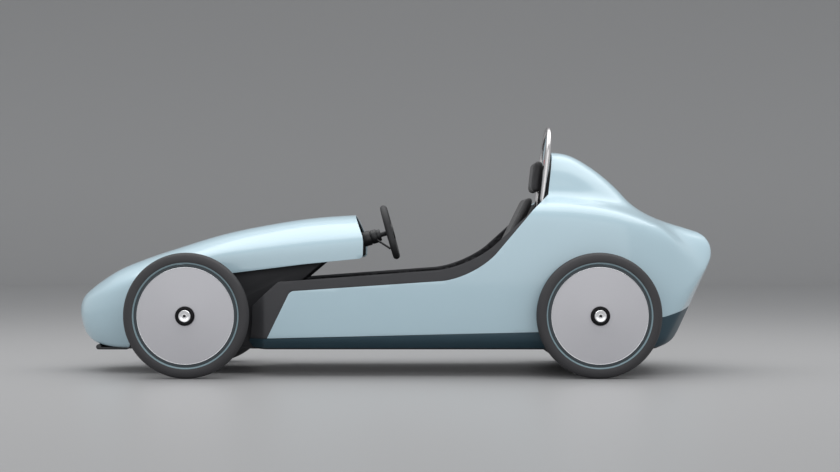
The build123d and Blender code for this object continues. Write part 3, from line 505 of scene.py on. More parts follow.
def tail_ring(share, back=0.0, narrow=1.0):
    """A leaning ring, a share of the way to a line ahead of the tail's end, and drawn in if asked."""
    found = []
    for index in range(len(hull_half(SHEAR_FROM))):
        x = found[-1][0] if found else SHEAR_FROM
        # each point is moved halfway to its goal again and again, because y and z change with x
        for _ in range(SETTLE_PASSES):
            y, z = hull_half(x)[index]
            goal = SHEAR_FROM + (tail_end_x(z) - bow(y) - back - SHEAR_FROM) * share
            x = 0.5 * x + 0.5 * goal
        found.append((x + bow(y) - bow(y * narrow), y * narrow, z))
    return found


def whole(half):
    """A closed ring from its half, which starts and ends on the middle line."""
    return half + [(x, -y, z) for x, y, z in reversed(half[1:-1])]


def smooth_end(form, from_x, from_z, passes):
    """Evens out the upper corner of the tail, where the rings crowd together."""
    bm = bmesh.new()
    bm.from_mesh(form.data)
    corner = [v for v in bm.verts if v.co.x > from_x * MM and v.co.z > from_z * MM]
    for _ in range(passes):
        bmesh.ops.smooth_vert(
            bm, verts=corner, factor=0.5, use_axis_x=True, use_axis_y=True, use_axis_z=True
        )
    bm.to_mesh(form.data)
    bm.free()


upright = [-640, -600, -565, -545, -537, -529, -515]
upright += [*range(-480, 500, 60), *range(500, 880, 20)]
hull_rings = [[(x, y, z) for y, z in hull_half(x)] for x in upright]
hull_rings += [tail_ring(step / TAIL_RINGS, END_ROUND) for step in range(TAIL_RINGS)]
edge_share = 1 - END_ROUND / max(y for _, y, _ in tail_ring(1.0))
for angle in (0, 22, 45, 67, 90):
    turn = math.radians(angle)
    narrow = 1 - (1 - edge_share) * (1 - math.cos(turn))
    hull_rings.append(tail_ring(1.0, END_ROUND * (1 - math.sin(turn)), narrow))
for share in (0.66, 0.33, 0.0):
    hull_rings.append(tail_ring(1.0, 0.0, edge_share * share))
hull_form = loft([whole(ring) for ring in hull_rings], "hull_form")
smooth_end(hull_form, from_x=1170, from_z=440, passes=8)
print("hull form:", len(hull_form.data.polygons), "faces")

# %% [markdown]
# The nose and hood are a second loft, with a crease between its bowed sides and its domed top. Its
# stations crowd together at the nose, where the form turns fastest.

# %% Loft the nose and hood
COWL_ROWS = [
    # x, bottom y, bottom z, bulge y, crease y, crease z, top z
    (-1348.5, 14, 246, 22, 14, 272, 280),
    (-1341, 34, 218, 50, 38, 284, 301),
    (-1329, 54, 189, 80, 60, 296, 321),
    (-1308, 76, 156, 112, 90, 308, 341),
    (-1264, 100, 122, 150, 132, 326, 376),
    (-1181, 140, 106, 198, 186, 356, 429),
    (-1072, 180, 105, 222, 216, 396, 474),
    (-945, 200, 105, 228, 226, 440, 517),
    (-742, 220, 105, 234, 232, 494, 579),
    (-560, 228, 105, 240, 238, 518, 618),
    (-350, 238, 105, 247, 245, 541, 650),
    (-90, 246, 105, 254, 252, 567, 668),
]
COWL_STATIONS = 64
CROWDING = 1.8


def cowl_half(x):
    """Half a section of nose and hood, from the bottom's middle to the top."""
    low_y, low_z, bulge, crease_y, crease_z, top_z = fair_row(COWL_ROWS, x)
    points = [(0.0, low_z)] + run_points((0, low_z), (low_y, low_z), 4)
    points += arc_points((low_y, low_z), (bulge, (low_z + crease_z) / 2), (crease_y, crease_z), 14)
    points += arc_points((crease_y, crease_z), (0, top_z), (-crease_y, crease_z), 24)[:12]
    return ease(points, 5, 24, 1)


cowl_rings = []
for station in range(COWL_STATIONS + 1):
    share = (station / COWL_STATIONS) ** CROWDING
    x = COWL_ROWS[0][0] + (COWL_ROWS[-1][0] - COWL_ROWS[0][0]) * share
    cowl_rings.append([(x, y, z) for y, z in cowl_half(x)])
cowl_form = loft([whole(ring) for ring in cowl_rings], "cowl_form")
print("cowl form:", len(cowl_form.data.polygons), "faces")

# %% [markdown]
# ## Panels cut from the forms
#
# Real panels are trimmed from one smooth skin, so the cut lines are drawn in side view as outlines,
# their corners rounded by a vertex bevel, and pushed out to both sides. A boolean keeps the skin
# inside the outline. The walls that the cutter leaves are deleted, and Solidify gives the open skin
# its thickness, so that every panel edge stands square to the surface. That is neater than a
# boolean on a thick shell, which would leave slanted edges.

# %% Write the panel cutter
CUT_HALF = 600.0


def cutter(corners, rounds):
    """A prism across the car from a side outline; rounds gives each rounded corner's set-back."""
    bm = bmesh.new()
    verts = [bm.verts.new((x * MM, -CUT_HALF * MM, z * MM)) for x, z in corners]
    bm.faces.new(verts)
    for index, set_back in rounds.items():
        bmesh.ops.bevel(
            bm, geom=[verts[index]], offset=set_back * MM, offset_type="OFFSET", segments=24, profile=0.5,
            affect="VERTICES", material=-1,
        )
    grown = bmesh.ops.extrude_face_region(bm, geom=list(bm.faces))["geom"]
    far = [v for v in grown if isinstance(v, bmesh.types.BMVert)]
    bmesh.ops.translate(bm, verts=far, vec=(0, 2 * CUT_HALF * MM, 0))
    bmesh.ops.recalc_face_normals(bm, faces=bm.faces)
    return bare_object(bm, "cutter")


def cut_form(form, name, corners, rounds, inset):
    """The part of a form inside an outline; the cut's own walls have material 1."""
    piece = bpy.data.objects.new(name, form.data.copy())
    bpy.context.collection.objects.link(piece)
    if inset:
        bm = bmesh.new()
        bm.from_mesh(piece.data)
        for vert in bm.verts:
            vert.co -= vert.normal * inset * MM
        bm.to_mesh(piece.data)
        bm.free()
    tool = cutter(corners, rounds)
    for holder, index in ((piece, 0), (tool, 1)):
        for label in ("body_blue", "tub_dark"):
            holder.data.materials.append(FINISH[label])
        for face in holder.data.polygons:
            face.material_index = index
    cut = piece.modifiers.new("trim", "BOOLEAN")
    cut.operation = "INTERSECT"
    cut.solver = "EXACT"
    cut.object = tool
    bake(piece)
    bpy.data.objects.remove(tool)
    return piece


def trim(form, name, corners, rounds, thickness, edge, slot, nodes, inset=0.0, sharp=38.0, finish=None):
    """A panel: the form's skin inside an outline, given its thickness inwards."""
    piece = cut_form(form, name, corners, rounds, inset)
    bm = bmesh.new()
    bm.from_mesh(piece.data)
    bmesh.ops.delete(bm, geom=[f for f in bm.faces if f.material_index == 1], context="FACES")
    rim = [v for v in bm.verts if v.is_boundary]
    bmesh.ops.remove_doubles(bm, verts=rim, dist=0.0025)
    bm.to_mesh(piece.data)
    bm.free()
    wall = piece.modifiers.new("wall", "SOLIDIFY")
    wall.thickness = thickness * MM
    wall.offset = -1.0
    wall.use_even_offset = False
    bake(piece)
    soften(piece, edge * MM, 2, 50.0)
    declare(piece, "chassis", FINISH[finish or slot], nodes, sharp)


# %% [markdown]
# The outlines below are the car's real joints: the blue side panel's slanted front, the sweep of the
# cockpit rim up to the headrest, and the line where blue meets the dark teal skirt.

# %% Trim the panels
SILL_LINE = [(612.0, 183.0), (1110.0, 242.0)]
COCKPIT = [(308.0, 444.0), (640.0, 746.0), (666.0, 932.0)]
BLUE_FRONT = [(-519.0, 155.5), (-424.0, 348.0), (328.0, 399.0), (570.0, 682.4)]
TUB_FRONT = [(-598.0, 151.0), (-588.0, 210.0), (-585.0, 286.0), (-472.0, 386.2)]
HIGH_Z = 1150.0
REAR_X = 1460.0
TUB_WALLS = ("tub_wall_left", "tub_wall_right")

blue_outline = BLUE_FRONT + COCKPIT[1:] + [(672, HIGH_Z), (REAR_X, HIGH_Z), (REAR_X, 344)] + SILL_LINE[::-1]
blue_nodes = ("side_panel_left", "side_panel_right", "tail_shell")
trim(hull_form, "blue_body", blue_outline, {2: 140, 1: 14}, 6.0, 1.6, "body_blue", blue_nodes, sharp=65.0)

coaming_outline = TUB_FRONT + [COCKPIT[0]] + BLUE_FRONT[::-1]
trim(hull_form, "tub_coaming", coaming_outline, {6: 140, 4: 140}, 13.0, 2.0, "tub_dark", TUB_WALLS)

# The lining, the tub's inner face, takes a darker finish than the coaming outside it: painted shade for the
# cockpit's inside.
inner_outline = [(-600, 118), (-578, 152), (-566, 284), (-466, 378), (308, 438), (640, 740), (640, 118)]
trim(hull_form, "tub_lining", inner_outline, {4: 140}, 6.0, 1.0, "tub_dark", TUB_WALLS, 7.0, finish="inner_painted_shade")

skirt_outline = SILL_LINE + [(REAR_X, 344), (REAR_X, 113), (-622, 113), (-598, 150)]
skirt_nodes = ("sill_left", "sill_right", "rear_valance")
trim(hull_form, "teal_skirt", skirt_outline, {}, 6.0, 1.2, "trim_teal", skirt_nodes)

cowl_outline = [
    (-1500, 60), (-1124, 60), (-1040, 352), (-671, 420), (-381, 456), (-132, 481),
    (-130, 563), (-171, 664), (-176, 720), (-176, HIGH_Z), (-1500, HIGH_Z),
]
hood_nodes = ("front_cowl",)
trim(cowl_form, "nose_and_hood", cowl_outline, {2: 60, 5: 14, 6: 20}, 5.0, 1.8, "body_blue", hood_nodes)

# The hood's lining takes the same darker inside finish: painted shade under the hood.
lining_outline = [
    (-1240, 126), (-1136, 126), (-1046, 357), (-671, 425), (-381, 461), (-138, 485),
    (-137, 562), (-178, 664), (-182, 720), (-182, HIGH_Z), (-1240, HIGH_Z),
]
trim(
    cowl_form, "hood_lining", lining_outline, {2: 60, 5: 10, 6: 20}, 2.0, 0.5, "body_blue", hood_nodes, 5.2,
    finish="inner_painted_shade",
)

# %% [markdown]
# Two walls close the tub: one behind the seat, under the hump, and one at its narrowed front, beside
# the footwell. Both are slices of the same form, drawn in a little, so they follow the skin exactly.
# The front slice is parted by two planes where the footwell's walls pass through. The floor plate is
# a slice too, flush with the skirt, and a plain plate carries it on under the feet.

# %% Slice the walls and the floor
FOOTWELL_HALF = 205.3
FOOTWELL_FLOOR = ((-1106.0, -205.0, 105.4), (-535.0, 205.0, 112.6))


def slice_wall(name, corners, inset, finish, nodes, open_half=None):
    """A wall or floor cut from the main body's form, with an opening in the middle if asked."""
    piece = cut_form(hull_form, name, corners, {}, inset)
    bm = bmesh.new()
    bm.from_mesh(piece.data)
    bmesh.ops.remove_doubles(bm, verts=bm.verts, dist=0.0005)
    if open_half:
        for side in (-1, 1):
            bmesh.ops.bisect_plane(
                bm, geom=list(bm.verts) + list(bm.edges) + list(bm.faces),
                plane_co=(0, side * open_half * MM, 0), plane_no=(0, side, 0),
            )
        inside = [f for f in bm.faces if abs(f.calc_center_median().y) < open_half * MM]
        bmesh.ops.delete(bm, geom=inside, context="FACES")
        bmesh.ops.holes_fill(bm, edges=[e for e in bm.edges if e.is_boundary])
    bmesh.ops.recalc_face_normals(bm, faces=bm.faces)
    bm.to_mesh(piece.data)
    bm.free()
    declare(piece, "chassis", FINISH[finish], nodes)


seat_slice = [(646, 113), (656, 113), (656, 746), (684, 924), (676, 924), (646, 746)]
slice_wall("seat_wall", seat_slice, 6.5, "tub_dark", ("seat_bulkhead",))

# The front wall, the floor plate and the footwell floor take the darker inside finish: painted shade for the
# recess.
front_slice = [
    (-620, 114), (-597, 150), (-587, 210), (-584, 285), (-471, 385.5),
    (-458, 385.5), (-573, 283), (-576, 210), (-586, 150), (-608, 114),
]
slice_wall("tub_front", front_slice, 1.0, "inner_painted_shade", TUB_WALLS, FOOTWELL_HALF)

floor_slice = [(-620, 104), (REAR_X, 104), (REAR_X, 113), (-620, 113)]
slice_wall("floor_plate", floor_slice, 0.0, "inner_painted_shade", ("floor_pan",))

bm = bmesh.new()
add_box(bm, *FOOTWELL_FLOOR)
footwell_floor = bare_object(bm, "footwell_floor")
declare(footwell_floor, "chassis", FINISH["inner_painted_shade"], ("floor_pan",))

for form in (hull_form, cowl_form):
    bpy.data.objects.remove(form)

# %% [markdown]
# ## Wheels
#
# Every wheel is turned: tyre, rim, stripe, covers and hub are outlines spun round the axle. The
# covers are shallow cones of satin aluminium, the hub is a black ring with a bright cap.

# %% Write the wheel tools
AXLE_Z = 253.0
WHEELS = [
    # name, x, y, outside
    ("front_left", -835.0, -395.0, -1),
    ("front_right", -835.0, 395.0, 1),
    ("rear_left", 825.0, -395.0, -1),
    ("rear_right", 825.0, 395.0, 1),
]


def spun(profile, wheel, name, steps=112):
    """A ring about a wheel's axle from a closed outline of (radius, offset outwards)."""
    _, x, y, outside = wheel
    bm = bmesh.new()
    verts = [bm.verts.new((x * MM, (y + outside * off) * MM, (AXLE_Z + r) * MM)) for r, off in profile]
    edges = [bm.edges.new((verts[k - 1], verts[k])) for k in range(len(verts))]
    bmesh.ops.spin(
        bm, geom=verts + edges, cent=(x * MM, y * MM, AXLE_Z * MM), axis=(0, 1, 0), dvec=(0, 0, 0),
        angle=math.tau, steps=steps, use_merge=True,
    )
    close_up(bm, 0.00002)
    return bare_object(bm, f"{name}_{wheel[0]}")


TYRE_HALF = [
    (207, 15.0), (209, 19.0), (214, 23.0), (222, 24.9), (231, 24.4), (239, 22.2), (245, 18.6), (249.2, 14.0),
    (251.3, 9.6),
]
TREAD_HALF = [(250.0, 9.0), (250.0, 7.4), (252.3, 6.8), (253.0, 2.4), (251.4, 1.8), (251.4, 0.0)]
STRIPE = [(207.2, 18.0), (207.6, 19.6), (210.0, 21.6), (212.6, 23.2), (213.4, 22.8), (210.0, 18.5)]
RIM = [(186, -18), (206.5, -18), (206.5, -14), (200, -12), (200, 12), (206.5, 14), (206.5, 18), (186, 18)]
COVER = [(39, 28), (120, 23.9), (193, 18.4), (193, 21.4), (120, 26.9), (39, 31)]
EDGE = [(192.6, 18.3), (192.6, 21.4), (193.2, 22.3), (194.2, 22.5), (195.0, 21.9), (195.2, 20.6), (194.8, 18.3)]
HUB = [
    (10.5, -30), (31, -30), (39, -28), (39, 36.5), (37.6, 39.4), (34.6, 41.8), (30.5, 42.4), (24.4, 41.6),
    (24.4, 37), (10.5, 37),
]
CAP = [(24.2, 37.2), (24.2, 43.2), (22.6, 45.0), (15, 45.0), (12.5, 44.2), (7.6, 44.6), (6.0, 43.4), (6.0, 37.2)]
print("tyre outline:", 2 * len(TYRE_HALF + TREAD_HALF) - 1, "points")

# %% [markdown]
# A tyre's tread and a disc's turning marks run round the axle, so their material needs the angle and
# the radius. One node group gives both from Object coordinates that a Mapping node has centred on
# the wheel, so each wheel gets its own material with the same group inside.

# %% Make the round finishes


def polar_group():
    """Angle from 0 to 1, radius in metres and offset along the axle."""
    tree = bpy.data.node_groups.new("around_axle", "ShaderNodeTree")
    add_sockets(tree, "INPUT", Vector="Vector")
    add_sockets(tree, "OUTPUT", Angle="Float", Radius="Float", Offset="Float")
    nodes, links = tree.nodes, tree.links
    source = nodes.new("NodeGroupInput")
    result = nodes.new("NodeGroupOutput")
    split = nodes.new("ShaderNodeSeparateXYZ")
    links.new(source.outputs["Vector"], split.inputs[0])
    x, z = split.outputs["X"], split.outputs["Z"]
    angle = math_node(tree, "MULTIPLY_ADD", math_node(tree, "ARCTAN2", z, x), 1 / math.tau, 0.5)
    square = math_node(tree, "MULTIPLY_ADD", x, x, math_node(tree, "MULTIPLY", z, z))
    links.new(angle, result.inputs["Angle"])
    links.new(math_node(tree, "SQRT", square), result.inputs["Radius"])
    links.new(split.outputs["Y"], result.inputs["Offset"])
    return tree


POLAR = polar_group()

# colour, roughness, grain scale, variation, bump and metallic
TYRE_LOOK = ((0.036, 0.035, 0.038), 0.60, 900.0, 0.30, 0.35)
DISC_LOOK = ((0.52, 0.515, 0.54), 0.48, 260.0, 0.05, 0.10, 0.55)
SIPES_ROUND = 150.0
SIPE_LEAN = 120.0
SIPE_SHARE = 0.30
SIPE_DEPTH = 2.2
CROWN_FROM = 0.238
WALL_RINGS = 3200.0
RING_DEPTH = 0.12


def round_material(look, wheel, name):
    """A start material, and the wheel's angle, radius and offset as sockets."""
    material = start_material(f"{name}_{wheel[0]}", *look)
    nodes, links = material.node_tree.nodes, material.node_tree.links
    centre = nodes.new("ShaderNodeMapping")
    centre.inputs["Location"].default_value = (-wheel[1] * MM, -wheel[2] * MM, -AXLE_Z * MM)
    links.new(nodes["place"].outputs["Object"], centre.inputs["Vector"])
    polar = nodes.new("ShaderNodeGroup")
    polar.node_tree = POLAR
    links.new(centre.outputs["Vector"], polar.inputs["Vector"])
    return material, polar.outputs


def tyre_rubber(wheel):
    """Rubber with slanted sipes on the crown and faint rings on the wall."""
    material, around = round_material(TYRE_LOOK, wheel, "tyre_rubber")
    tree = material.node_tree
    relief = tree.nodes["relief"]
    lean = math_node(tree, "MULTIPLY", math_node(tree, "ABSOLUTE", around["Offset"]), SIPE_LEAN)
    turns = math_node(tree, "MULTIPLY", around["Angle"], SIPES_ROUND)
    phase = math_node(tree, "FRACT", math_node(tree, "ADD", turns, lean))
    ridge = math_node(tree, "GREATER_THAN", phase, SIPE_SHARE)
    crown = math_node(tree, "GREATER_THAN", around["Radius"], CROWN_FROM)
    cut = math_node(tree, "MULTIPLY", crown, math_node(tree, "SUBTRACT", 1.0, ridge))
    ring = math_node(tree, "SINE", math_node(tree, "MULTIPLY", around["Radius"], WALL_RINGS))
    wall = math_node(tree, "MULTIPLY", ring, RING_DEPTH)
    fine = math_node(tree, "ADD", tree.nodes["grain"].outputs["Height"], wall)
    height = math_node(tree, "SUBTRACT", fine, math_node(tree, "MULTIPLY", cut, SIPE_DEPTH))
    tree.links.new(height, relief.inputs["Height"])
    relief.inputs["Distance"].default_value = 0.0007
    return material


def disc_alloy(wheel):
    """Satin aluminium with fine turning marks round the axle."""
    material, around = round_material(DISC_LOOK, wheel, "disc_alloy")
    nodes, links = material.node_tree.nodes, material.node_tree.links
    thread = nodes.new("ShaderNodeTexNoise")
    thread.noise_dimensions = "1D"
    thread.inputs["Scale"].default_value = 1500.0
    links.new(around["Radius"], thread.inputs["W"])
    links.new(thread.outputs["Fac"], nodes["relief"].inputs["Height"])
    return material


print("polar sockets:", [item.name for item in POLAR.interface.items_tree])

# %% [markdown]
# Now each wheel is built from the outside in. The tyre's outline is mirrored about the wheel's
# middle, and so is the cover, because a disc wheel looks the same from both sides. The bright ring
# round the outer cover is its rolled edge.

# %% Turn the wheels
for wheel in WHEELS:
    corner = wheel[0]
    body = f"wheel_{corner}"
    outer_half = TYRE_HALF + TREAD_HALF[:-1]
    inner_half = [(r, -off) for r, off in outer_half]
    tyre = spun(inner_half + [TREAD_HALF[-1]] + outer_half[::-1], wheel, "tyre_skin", 144)
    declare(tyre, body, tyre_rubber(wheel), (f"tyre_{corner}",), 50.0)
    stripe = spun(STRIPE, wheel, "tyre_stripe")
    declare(stripe, body, FINISH["stripe_blue"])
    rim = spun(RIM, wheel, "rim_bed")
    declare(rim, body, FINISH["rim_grey"], (f"rim_{corner}",))
    outer_cover = spun(COVER, wheel, "cover_out")
    declare(outer_cover, body, disc_alloy(wheel), (f"disc_{corner}",), 50.0)
    edge = spun(EDGE, wheel, "cover_edge")
    declare(edge, body, FINISH["edge_bright"])
    inner_cover = spun([(r, -off) for r, off in COVER], wheel, "cover_in")
    declare(inner_cover, body, outer_cover.data.materials[0], (), 50.0)
    hub = spun(HUB, wheel, "hub_ring", 64)
    declare(hub, body, FINISH["hub_black"], (f"hub_{corner}",))
    cap = spun(CAP, wheel, "hub_cap", 64)
    declare(cap, body, FINISH["cap_bright"])

# %% [markdown]
# ## Tubes
#
# A bent tube is drawn as a maker bends it: a ring of vertices is pushed along a straight run, then
# spun through a bend, and pushed on. The hoop is two legs and one half-turn, the steering yoke is
# four runs and four quarter-turns.

# %% Write the tube drawer


def draw_tube(bm, radius, start, heading, moves, sides=24):
    """A tube from a start point through ("run", vector) and ("bend", centre, axis, degrees) moves."""
    ring = bmesh.ops.create_circle(bm, segments=sides, radius=radius * MM)["verts"]
    aim = Vector(heading).to_track_quat("Z", "Y").to_matrix().to_4x4()
    bmesh.ops.transform(bm, matrix=Matrix.Translation(Vector(start) * MM) @ aim, verts=ring)
    live = list({e for v in ring for e in v.link_edges})
    for move in moves:
        verts = list({v for e in live for v in e.verts})
        if move[0] == "run":
            grown = bmesh.ops.extrude_edge_only(bm, edges=live)["geom"]
            fresh = [g for g in grown if isinstance(g, bmesh.types.BMVert)]
            bmesh.ops.translate(bm, verts=fresh, vec=Vector(move[1]) * MM)
            live = [g for g in grown if isinstance(g, bmesh.types.BMEdge) and all(v in fresh for v in g.verts)]
        else:
            _, centre, axis, degrees = move
            swept = bmesh.ops.spin(
                bm, geom=verts + live, cent=Vector(centre) * MM, axis=axis, dvec=(0, 0, 0),
                angle=math.radians(degrees), steps=max(8, int(abs(degrees) / 6)), use_duplicate=False,
            )
            live = [g for g in swept["geom_last"] if isinstance(g, bmesh.types.BMEdge)]


def rod(bm, start, end, radius, sides=24, tip=None):
    """A round bar between two points."""
    a, b = Vector(start) * MM, Vector(end) * MM
    made = bmesh.ops.create_cone(
        bm, cap_ends=True, segments=sides, radius1=radius * MM, radius2=(tip or radius) * MM, depth=(b - a).length
    )["verts"]
    aim = (b - a).to_track_quat("Z", "Y").to_matrix().to_4x4()
    bmesh.ops.transform(bm, matrix=Matrix.Translation((a + b) / 2) @ aim, verts=made)


# %% [markdown]
# The roll hoop is polished stainless tube with two round feet on the floor and a cross tube that
# carries the headrest. Brushing runs along the tube, so its material stretches fine noise along Z.

# %% Draw the roll hoop
HOOP_LEAN = 0.114
HOOP_TOP = (655.0, 1031.0)
HOOP_HALF = 137.0
HOOP_R = 11.0
FLOOR_TOP = 113.0
CROSS_TUBE_Z = 868.0
CROSS_TUBE_R = 8.0
FOOT_R = 26.0
FOOT_HEIGHT = 6.0


def hoop_x(z):
    """The leaning hoop's axis at a height."""
    return HOOP_TOP[0] + HOOP_LEAN * (z - HOOP_TOP[1])


def brushed_steel():
    """Polished tube with long fine scratches."""
    material = start_material("hoop_steel", (0.62, 0.60, 0.60), 0.24, 500.0, 0.12, 0.10, 1.0)
    nodes, links = material.node_tree.nodes, material.node_tree.links
    stretch = nodes.new("ShaderNodeMapping")
    stretch.inputs["Scale"].default_value = (1.0, 1.0, 0.02)
    links.new(nodes["place"].outputs["Object"], stretch.inputs["Vector"])
    links.new(stretch.outputs["Vector"], nodes["grain"].inputs["Vector"])
    return material


bend_z = HOOP_TOP[1] - HOOP_HALF
lean = Vector((HOOP_LEAN, 0, 1)).normalized()
leg = Vector((hoop_x(bend_z) - hoop_x(FLOOR_TOP), 0, bend_z - FLOOR_TOP))
bm = bmesh.new()
draw_tube(
    bm, HOOP_R, (hoop_x(FLOOR_TOP), -HOOP_HALF, FLOOR_TOP), lean,
    [
        ("run", leg),
        ("bend", (hoop_x(bend_z), 0, bend_z), (1, 0, -HOOP_LEAN), -180),
        ("run", -leg),
    ],
)
close_up(bm)
cross_x, foot_x = hoop_x(CROSS_TUBE_Z), hoop_x(FLOOR_TOP)
rod(bm, (cross_x, -HOOP_HALF, CROSS_TUBE_Z), (cross_x, HOOP_HALF, CROSS_TUBE_Z), CROSS_TUBE_R)
for y in (-HOOP_HALF, HOOP_HALF):
    rod(bm, (foot_x, y, FLOOR_TOP), (foot_x, y, FLOOR_TOP + FOOT_HEIGHT), FOOT_R, 36)
hoop = bare_object(bm, "hoop_tube")
declare(hoop, "chassis", brushed_steel(), ("roll_hoop",))

# %% [markdown]
# ## Steering yoke and column
#
# The yoke is a rounded rectangle of soft-grip tube with a hub, two side spokes and one lower spoke,
# square to a column that leans back. It is drawn flat and then turned onto the column in one move.

# %% Draw the yoke and column
YOKE_CENTRE = (-24.0, 0.0, 589.0)
COLUMN_TILT = 15.5
YOKE_WIDE = 124.0
YOKE_TALL = 105.0
YOKE_BEND = 74.0
GRIP_R = 14.0
COLUMN_STEPS = [
    # from, to, radius
    (-150, -128, 32), (-128, -124, 29.5), (-124, -86, 32), (-86, -82, 28), (-82, -58, 30), (-58, -42, 25),
]
LEVER_ROOT, LEVER_BEND, LEVER_TIP = (-78, -24, 556), (-62, -46, 545), (-24, -50, 521)
column_turn = Matrix.Rotation(-math.radians(COLUMN_TILT), 4, "Y")
column_place = Matrix.Translation(Vector(YOKE_CENTRE) * MM) @ column_turn

bm = bmesh.new()
side, up = YOKE_WIDE - YOKE_BEND, YOKE_TALL - YOKE_BEND
draw_tube(
    bm, GRIP_R, (0, YOKE_WIDE, -up), (0, 0, 1),
    [
        ("run", (0, 0, 2 * up)), ("bend", (0, side, up), (1, 0, 0), 90),
        ("run", (0, -2 * side, 0)), ("bend", (0, -side, up), (1, 0, 0), 90),
        ("run", (0, 0, -2 * up)), ("bend", (0, -side, -up), (1, 0, 0), 90),
        ("run", (0, 2 * side, 0)), ("bend", (0, side, -up), (1, 0, 0), 90),
    ],
)
close_up(bm)
bmesh.ops.transform(bm, matrix=column_place, verts=bm.verts)
yoke = bare_object(bm, "yoke_rim")
declare(yoke, "steering", FINISH["grip_rubber"], ("steering_yoke",))

bm = bmesh.new()
rod(bm, (-17, 0, 0), (17, 0, 0), 34.0, 40)
add_box(bm, (-6, -122, -13), (6, 122, 13))
add_box(bm, (-6, -13, -103), (6, 13, 0))
bmesh.ops.transform(bm, matrix=column_place, verts=bm.verts)
spokes = bare_object(bm, "yoke_spokes")
soften(spokes, 3 * MM, 3)
declare(spokes, "steering", FINISH["black_plastic"])

bm = bmesh.new()
for low, high, radius in COLUMN_STEPS:
    rod(bm, (low, 0, 0), (high, 0, 0), radius, 40)
bmesh.ops.transform(bm, matrix=column_place, verts=bm.verts)
column = bare_object(bm, "column_housing")
soften(column, 2 * MM)
declare(column, "chassis", FINISH["black_plastic"], ("steering_column_tube",))

bm = bmesh.new()
rod(bm, LEVER_ROOT, LEVER_BEND, 4.5, 20)
rod(bm, LEVER_BEND, LEVER_TIP, 3.6, 20, 4.6)
for place, radius in ((LEVER_BEND, 4.6), (LEVER_TIP, 5.2)):
    knob = bmesh.ops.create_uvsphere(bm, u_segments=20, v_segments=12, radius=radius * MM)["verts"]
    bmesh.ops.translate(bm, vec=Vector(place) * MM, verts=knob)
lever = bare_object(bm, "column_lever")
declare(lever, "chassis", FINISH["black_plastic"])

# %% [markdown]
# ## Running gear
#
# Axles, knuckles, rods and cranks are machined or welded parts whose solids are already right. A
# copy of each is merged, its flat faces are dissolved to clean outlines, and its edges are broken
# with a small bevel, as a machinist does with a file.

# %% Break the edges of the running gear


def broken_edges(node, body, slot, width, finish=None):
    """A copy of a solid with its edges broken, standing for the solid."""
    bm = bmesh.new()
    bm.from_mesh(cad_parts[node].data)
    bmesh.ops.remove_doubles(bm, verts=bm.verts, dist=0.00002)
    bmesh.ops.dissolve_limit(bm, angle_limit=math.radians(2.0), verts=bm.verts, edges=bm.edges)
    piece = bare_object(bm, f"{node}_finished")
    soften(piece, width * MM, 2, 44.0)
    declare(piece, body, FINISH[finish or slot], (node,), 40.0)


GEAR = [
    # node, body, slot, edge, and the finish where it is not the slot's own
    ("front_axle_beam", "chassis", "black_steel", 1.5),
    ("rear_axle", "chassis", "black_steel", 1.5),
    ("knuckle_left", "knuckle_left", "black_steel", 1.0),
    ("knuckle_right", "knuckle_right", "black_steel", 1.0),
    ("tie_rod", "tie_rod", "black_steel", 0.6, "crank_alloy"),
    ("pitman_arm", "pitman_arm", "black_steel", 0.8),
    ("steering_gearbox", "chassis", "unit_alloy", 2.0),
    ("steering_shaft", "steering", "black_steel", 0.5),
    ("crankset", "crankset", "crank_alloy", 1.5),
    ("pedal_left", "pedal_left", "black_plastic", 2.5),
    ("pedal_right", "pedal_right", "black_plastic", 2.5),
    ("drive_unit", "chassis", "unit_alloy", 2.5),
    ("battery_pack", "chassis", "black_plastic", 6.0),
    # the tunnel, footwell walls and bulkhead take the darker inside finish: painted shade for the recess
    ("drive_tunnel", "chassis", "tub_dark", 4.0, "inner_painted_shade"),
    ("front_lip", "chassis", "black_plastic", 2.0),
    ("seat_shell", "chassis", "black_plastic", 3.0),
    ("footwell_walls", "chassis", "tub_dark", 1.0, "inner_painted_shade"),
    ("front_bulkhead", "chassis", "tub_dark", 1.0, "inner_painted_shade"),
    ("dash_panel", "chassis", "black_plastic", 1.5),
    ("marker_lamp", "chassis", "lamp_red", 2.5),
]
for row in GEAR:
    broken_edges(*row)

# %% [markdown]
# ## Padding
#
# The seat's two cushions and the headrest are foam under black leathercloth. A block is remeshed
# evenly, blown up a little by Blender's cloth under pressure with gravity off, and the movement of
# each point is capped, so the pad crowns in the middle and pulls in at its corners. Leather grain
# is a small cell pattern with creases between the cells.

# %% Make the leathercloth


def leathercloth():
    """Black leathercloth: small pebbles, dark creases and a soft sheen."""
    material = start_material("leathercloth", (0.012, 0.0115, 0.013), 0.52, 700.0, 0.25, 0.5)
    nodes, links = material.node_tree.nodes, material.node_tree.links
    pebble = nodes.new("ShaderNodeTexVoronoi")
    pebble.feature = "DISTANCE_TO_EDGE"
    pebble.inputs["Scale"].default_value = 420.0
    links.new(nodes["place"].outputs["Object"], pebble.inputs["Vector"])
    crease = math_node(material.node_tree, "MINIMUM", pebble.outputs["Distance"], 0.12)
    grain = nodes["grain"].outputs["Height"]
    height = math_node(material.node_tree, "MULTIPLY_ADD", crease, 6.0, grain)
    links.new(height, nodes["relief"].inputs["Height"])
    nodes["relief"].inputs["Distance"].default_value = 0.0005
    nodes["Principled BSDF"].inputs["Sheen Weight"].default_value = 0.15
    return material


LEATHER = leathercloth()
print("leathercloth nodes:", len(LEATHER.node_tree.nodes))

# %% [markdown]
# Each pad is a block along a line in side view: the seat from its front to its bend, the back from
# the bend to its top, and the headrest along the hoop. The block starts a little small, so that the
# swollen pad ends up at its real size.

# %% Puff the cushions
SWELL_CAP = 5.0
CORNER_GAP = 17.0
HEAD_LOW, HEAD_HIGH, HEAD_AHEAD = 756, 900, 52.3
CLOTH_STEPS = 20
SEAT_FRONT = Vector((-20.0, 0.0, 214.0))
SEAT_BEND = Vector((284.0, 0.0, 200.0))
SEAT_TOP = Vector((556.0, 0.0, 748.0))


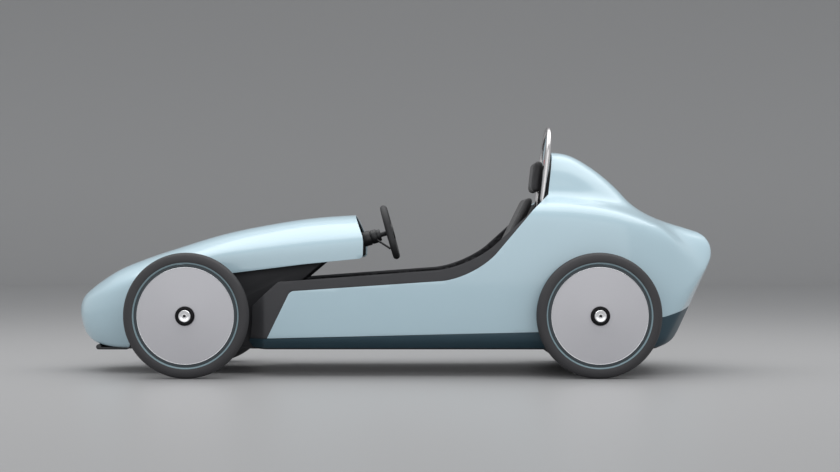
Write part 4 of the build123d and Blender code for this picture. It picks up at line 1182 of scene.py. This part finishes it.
def pad_block(name, start, end, half, thick, edge):
    """A block along a side line, its edges rounded, shrunk for the swelling."""
    run = end - start
    along = run.normalized()
    back = Vector((along.z, 0, -along.x))
    bm = bmesh.new()
    verts = bmesh.ops.create_cube(bm, size=1.0)["verts"]
    size = [(length - 2 * SWELL_CAP) * MM for length in (run.length, 2 * half, thick)]
    bmesh.ops.scale(bm, vec=size, verts=verts)
    turn = Matrix((along, (0, 1, 0), back)).transposed().to_4x4()
    middle = (start + end) / 2 + back * thick / 2
    bmesh.ops.transform(bm, matrix=Matrix.Translation(middle * MM) @ turn, verts=verts)
    bmesh.ops.recalc_face_normals(bm, faces=bm.faces)
    bmesh.ops.bevel(
        bm, geom=list(bm.edges), offset=edge * MM, segments=5, profile=0.5, affect="EDGES", material=-1
    )
    return bare_object(bm, name)


def puff(piece, cap):
    """Swells a pad by cloth pressure, each point held within the cap in millimetres."""
    even = piece.modifiers.new("even", "REMESH")
    even.mode = "VOXEL"
    even.voxel_size = 0.006
    bake(piece)
    rest = [v.co.copy() for v in piece.data.vertices]
    cloth = piece.modifiers.new("swell", "CLOTH")
    cloth.settings.use_pressure = True
    cloth.settings.uniform_pressure_force = 4.0
    cloth.settings.effector_weights.gravity = 0.0
    for step in range(1, CLOTH_STEPS + 1):
        bpy.context.scene.frame_set(step)
    bake(piece)
    bpy.context.scene.frame_set(1)
    for vert, old in zip(piece.data.vertices, rest):
        move = vert.co - old
        if move.length > cap * MM:
            vert.co = old + move.normalized() * cap * MM
    subdivide(piece)


seat_end = SEAT_BEND - (SEAT_BEND - SEAT_FRONT).normalized() * CORNER_GAP
back_start = SEAT_BEND + (SEAT_TOP - SEAT_BEND).normalized() * CORNER_GAP
head_start, head_end = (Vector((hoop_x(z) - HEAD_AHEAD, 0, z)) for z in (HEAD_LOW, HEAD_HIGH))
PADS = [
    # name, start, end, half width, thickness, edge, node
    ("seat_cushion", SEAT_FRONT, seat_end, 178.0, 34.0, 11.0, "seat_base_pad"),
    ("back_cushion", back_start, SEAT_TOP, 178.0, 34.0, 11.0, "seat_back_pad"),
    ("head_cushion", head_start, head_end, 112.0, 44.0, 16.0, "headrest_pad"),
]
for name, start, end, half, thick, edge, node in PADS:
    pad = pad_block(name, start, end, half, thick, edge)
    puff(pad, SWELL_CAP)
    declare(pad, "chassis", LEATHER, (node,), 60.0)
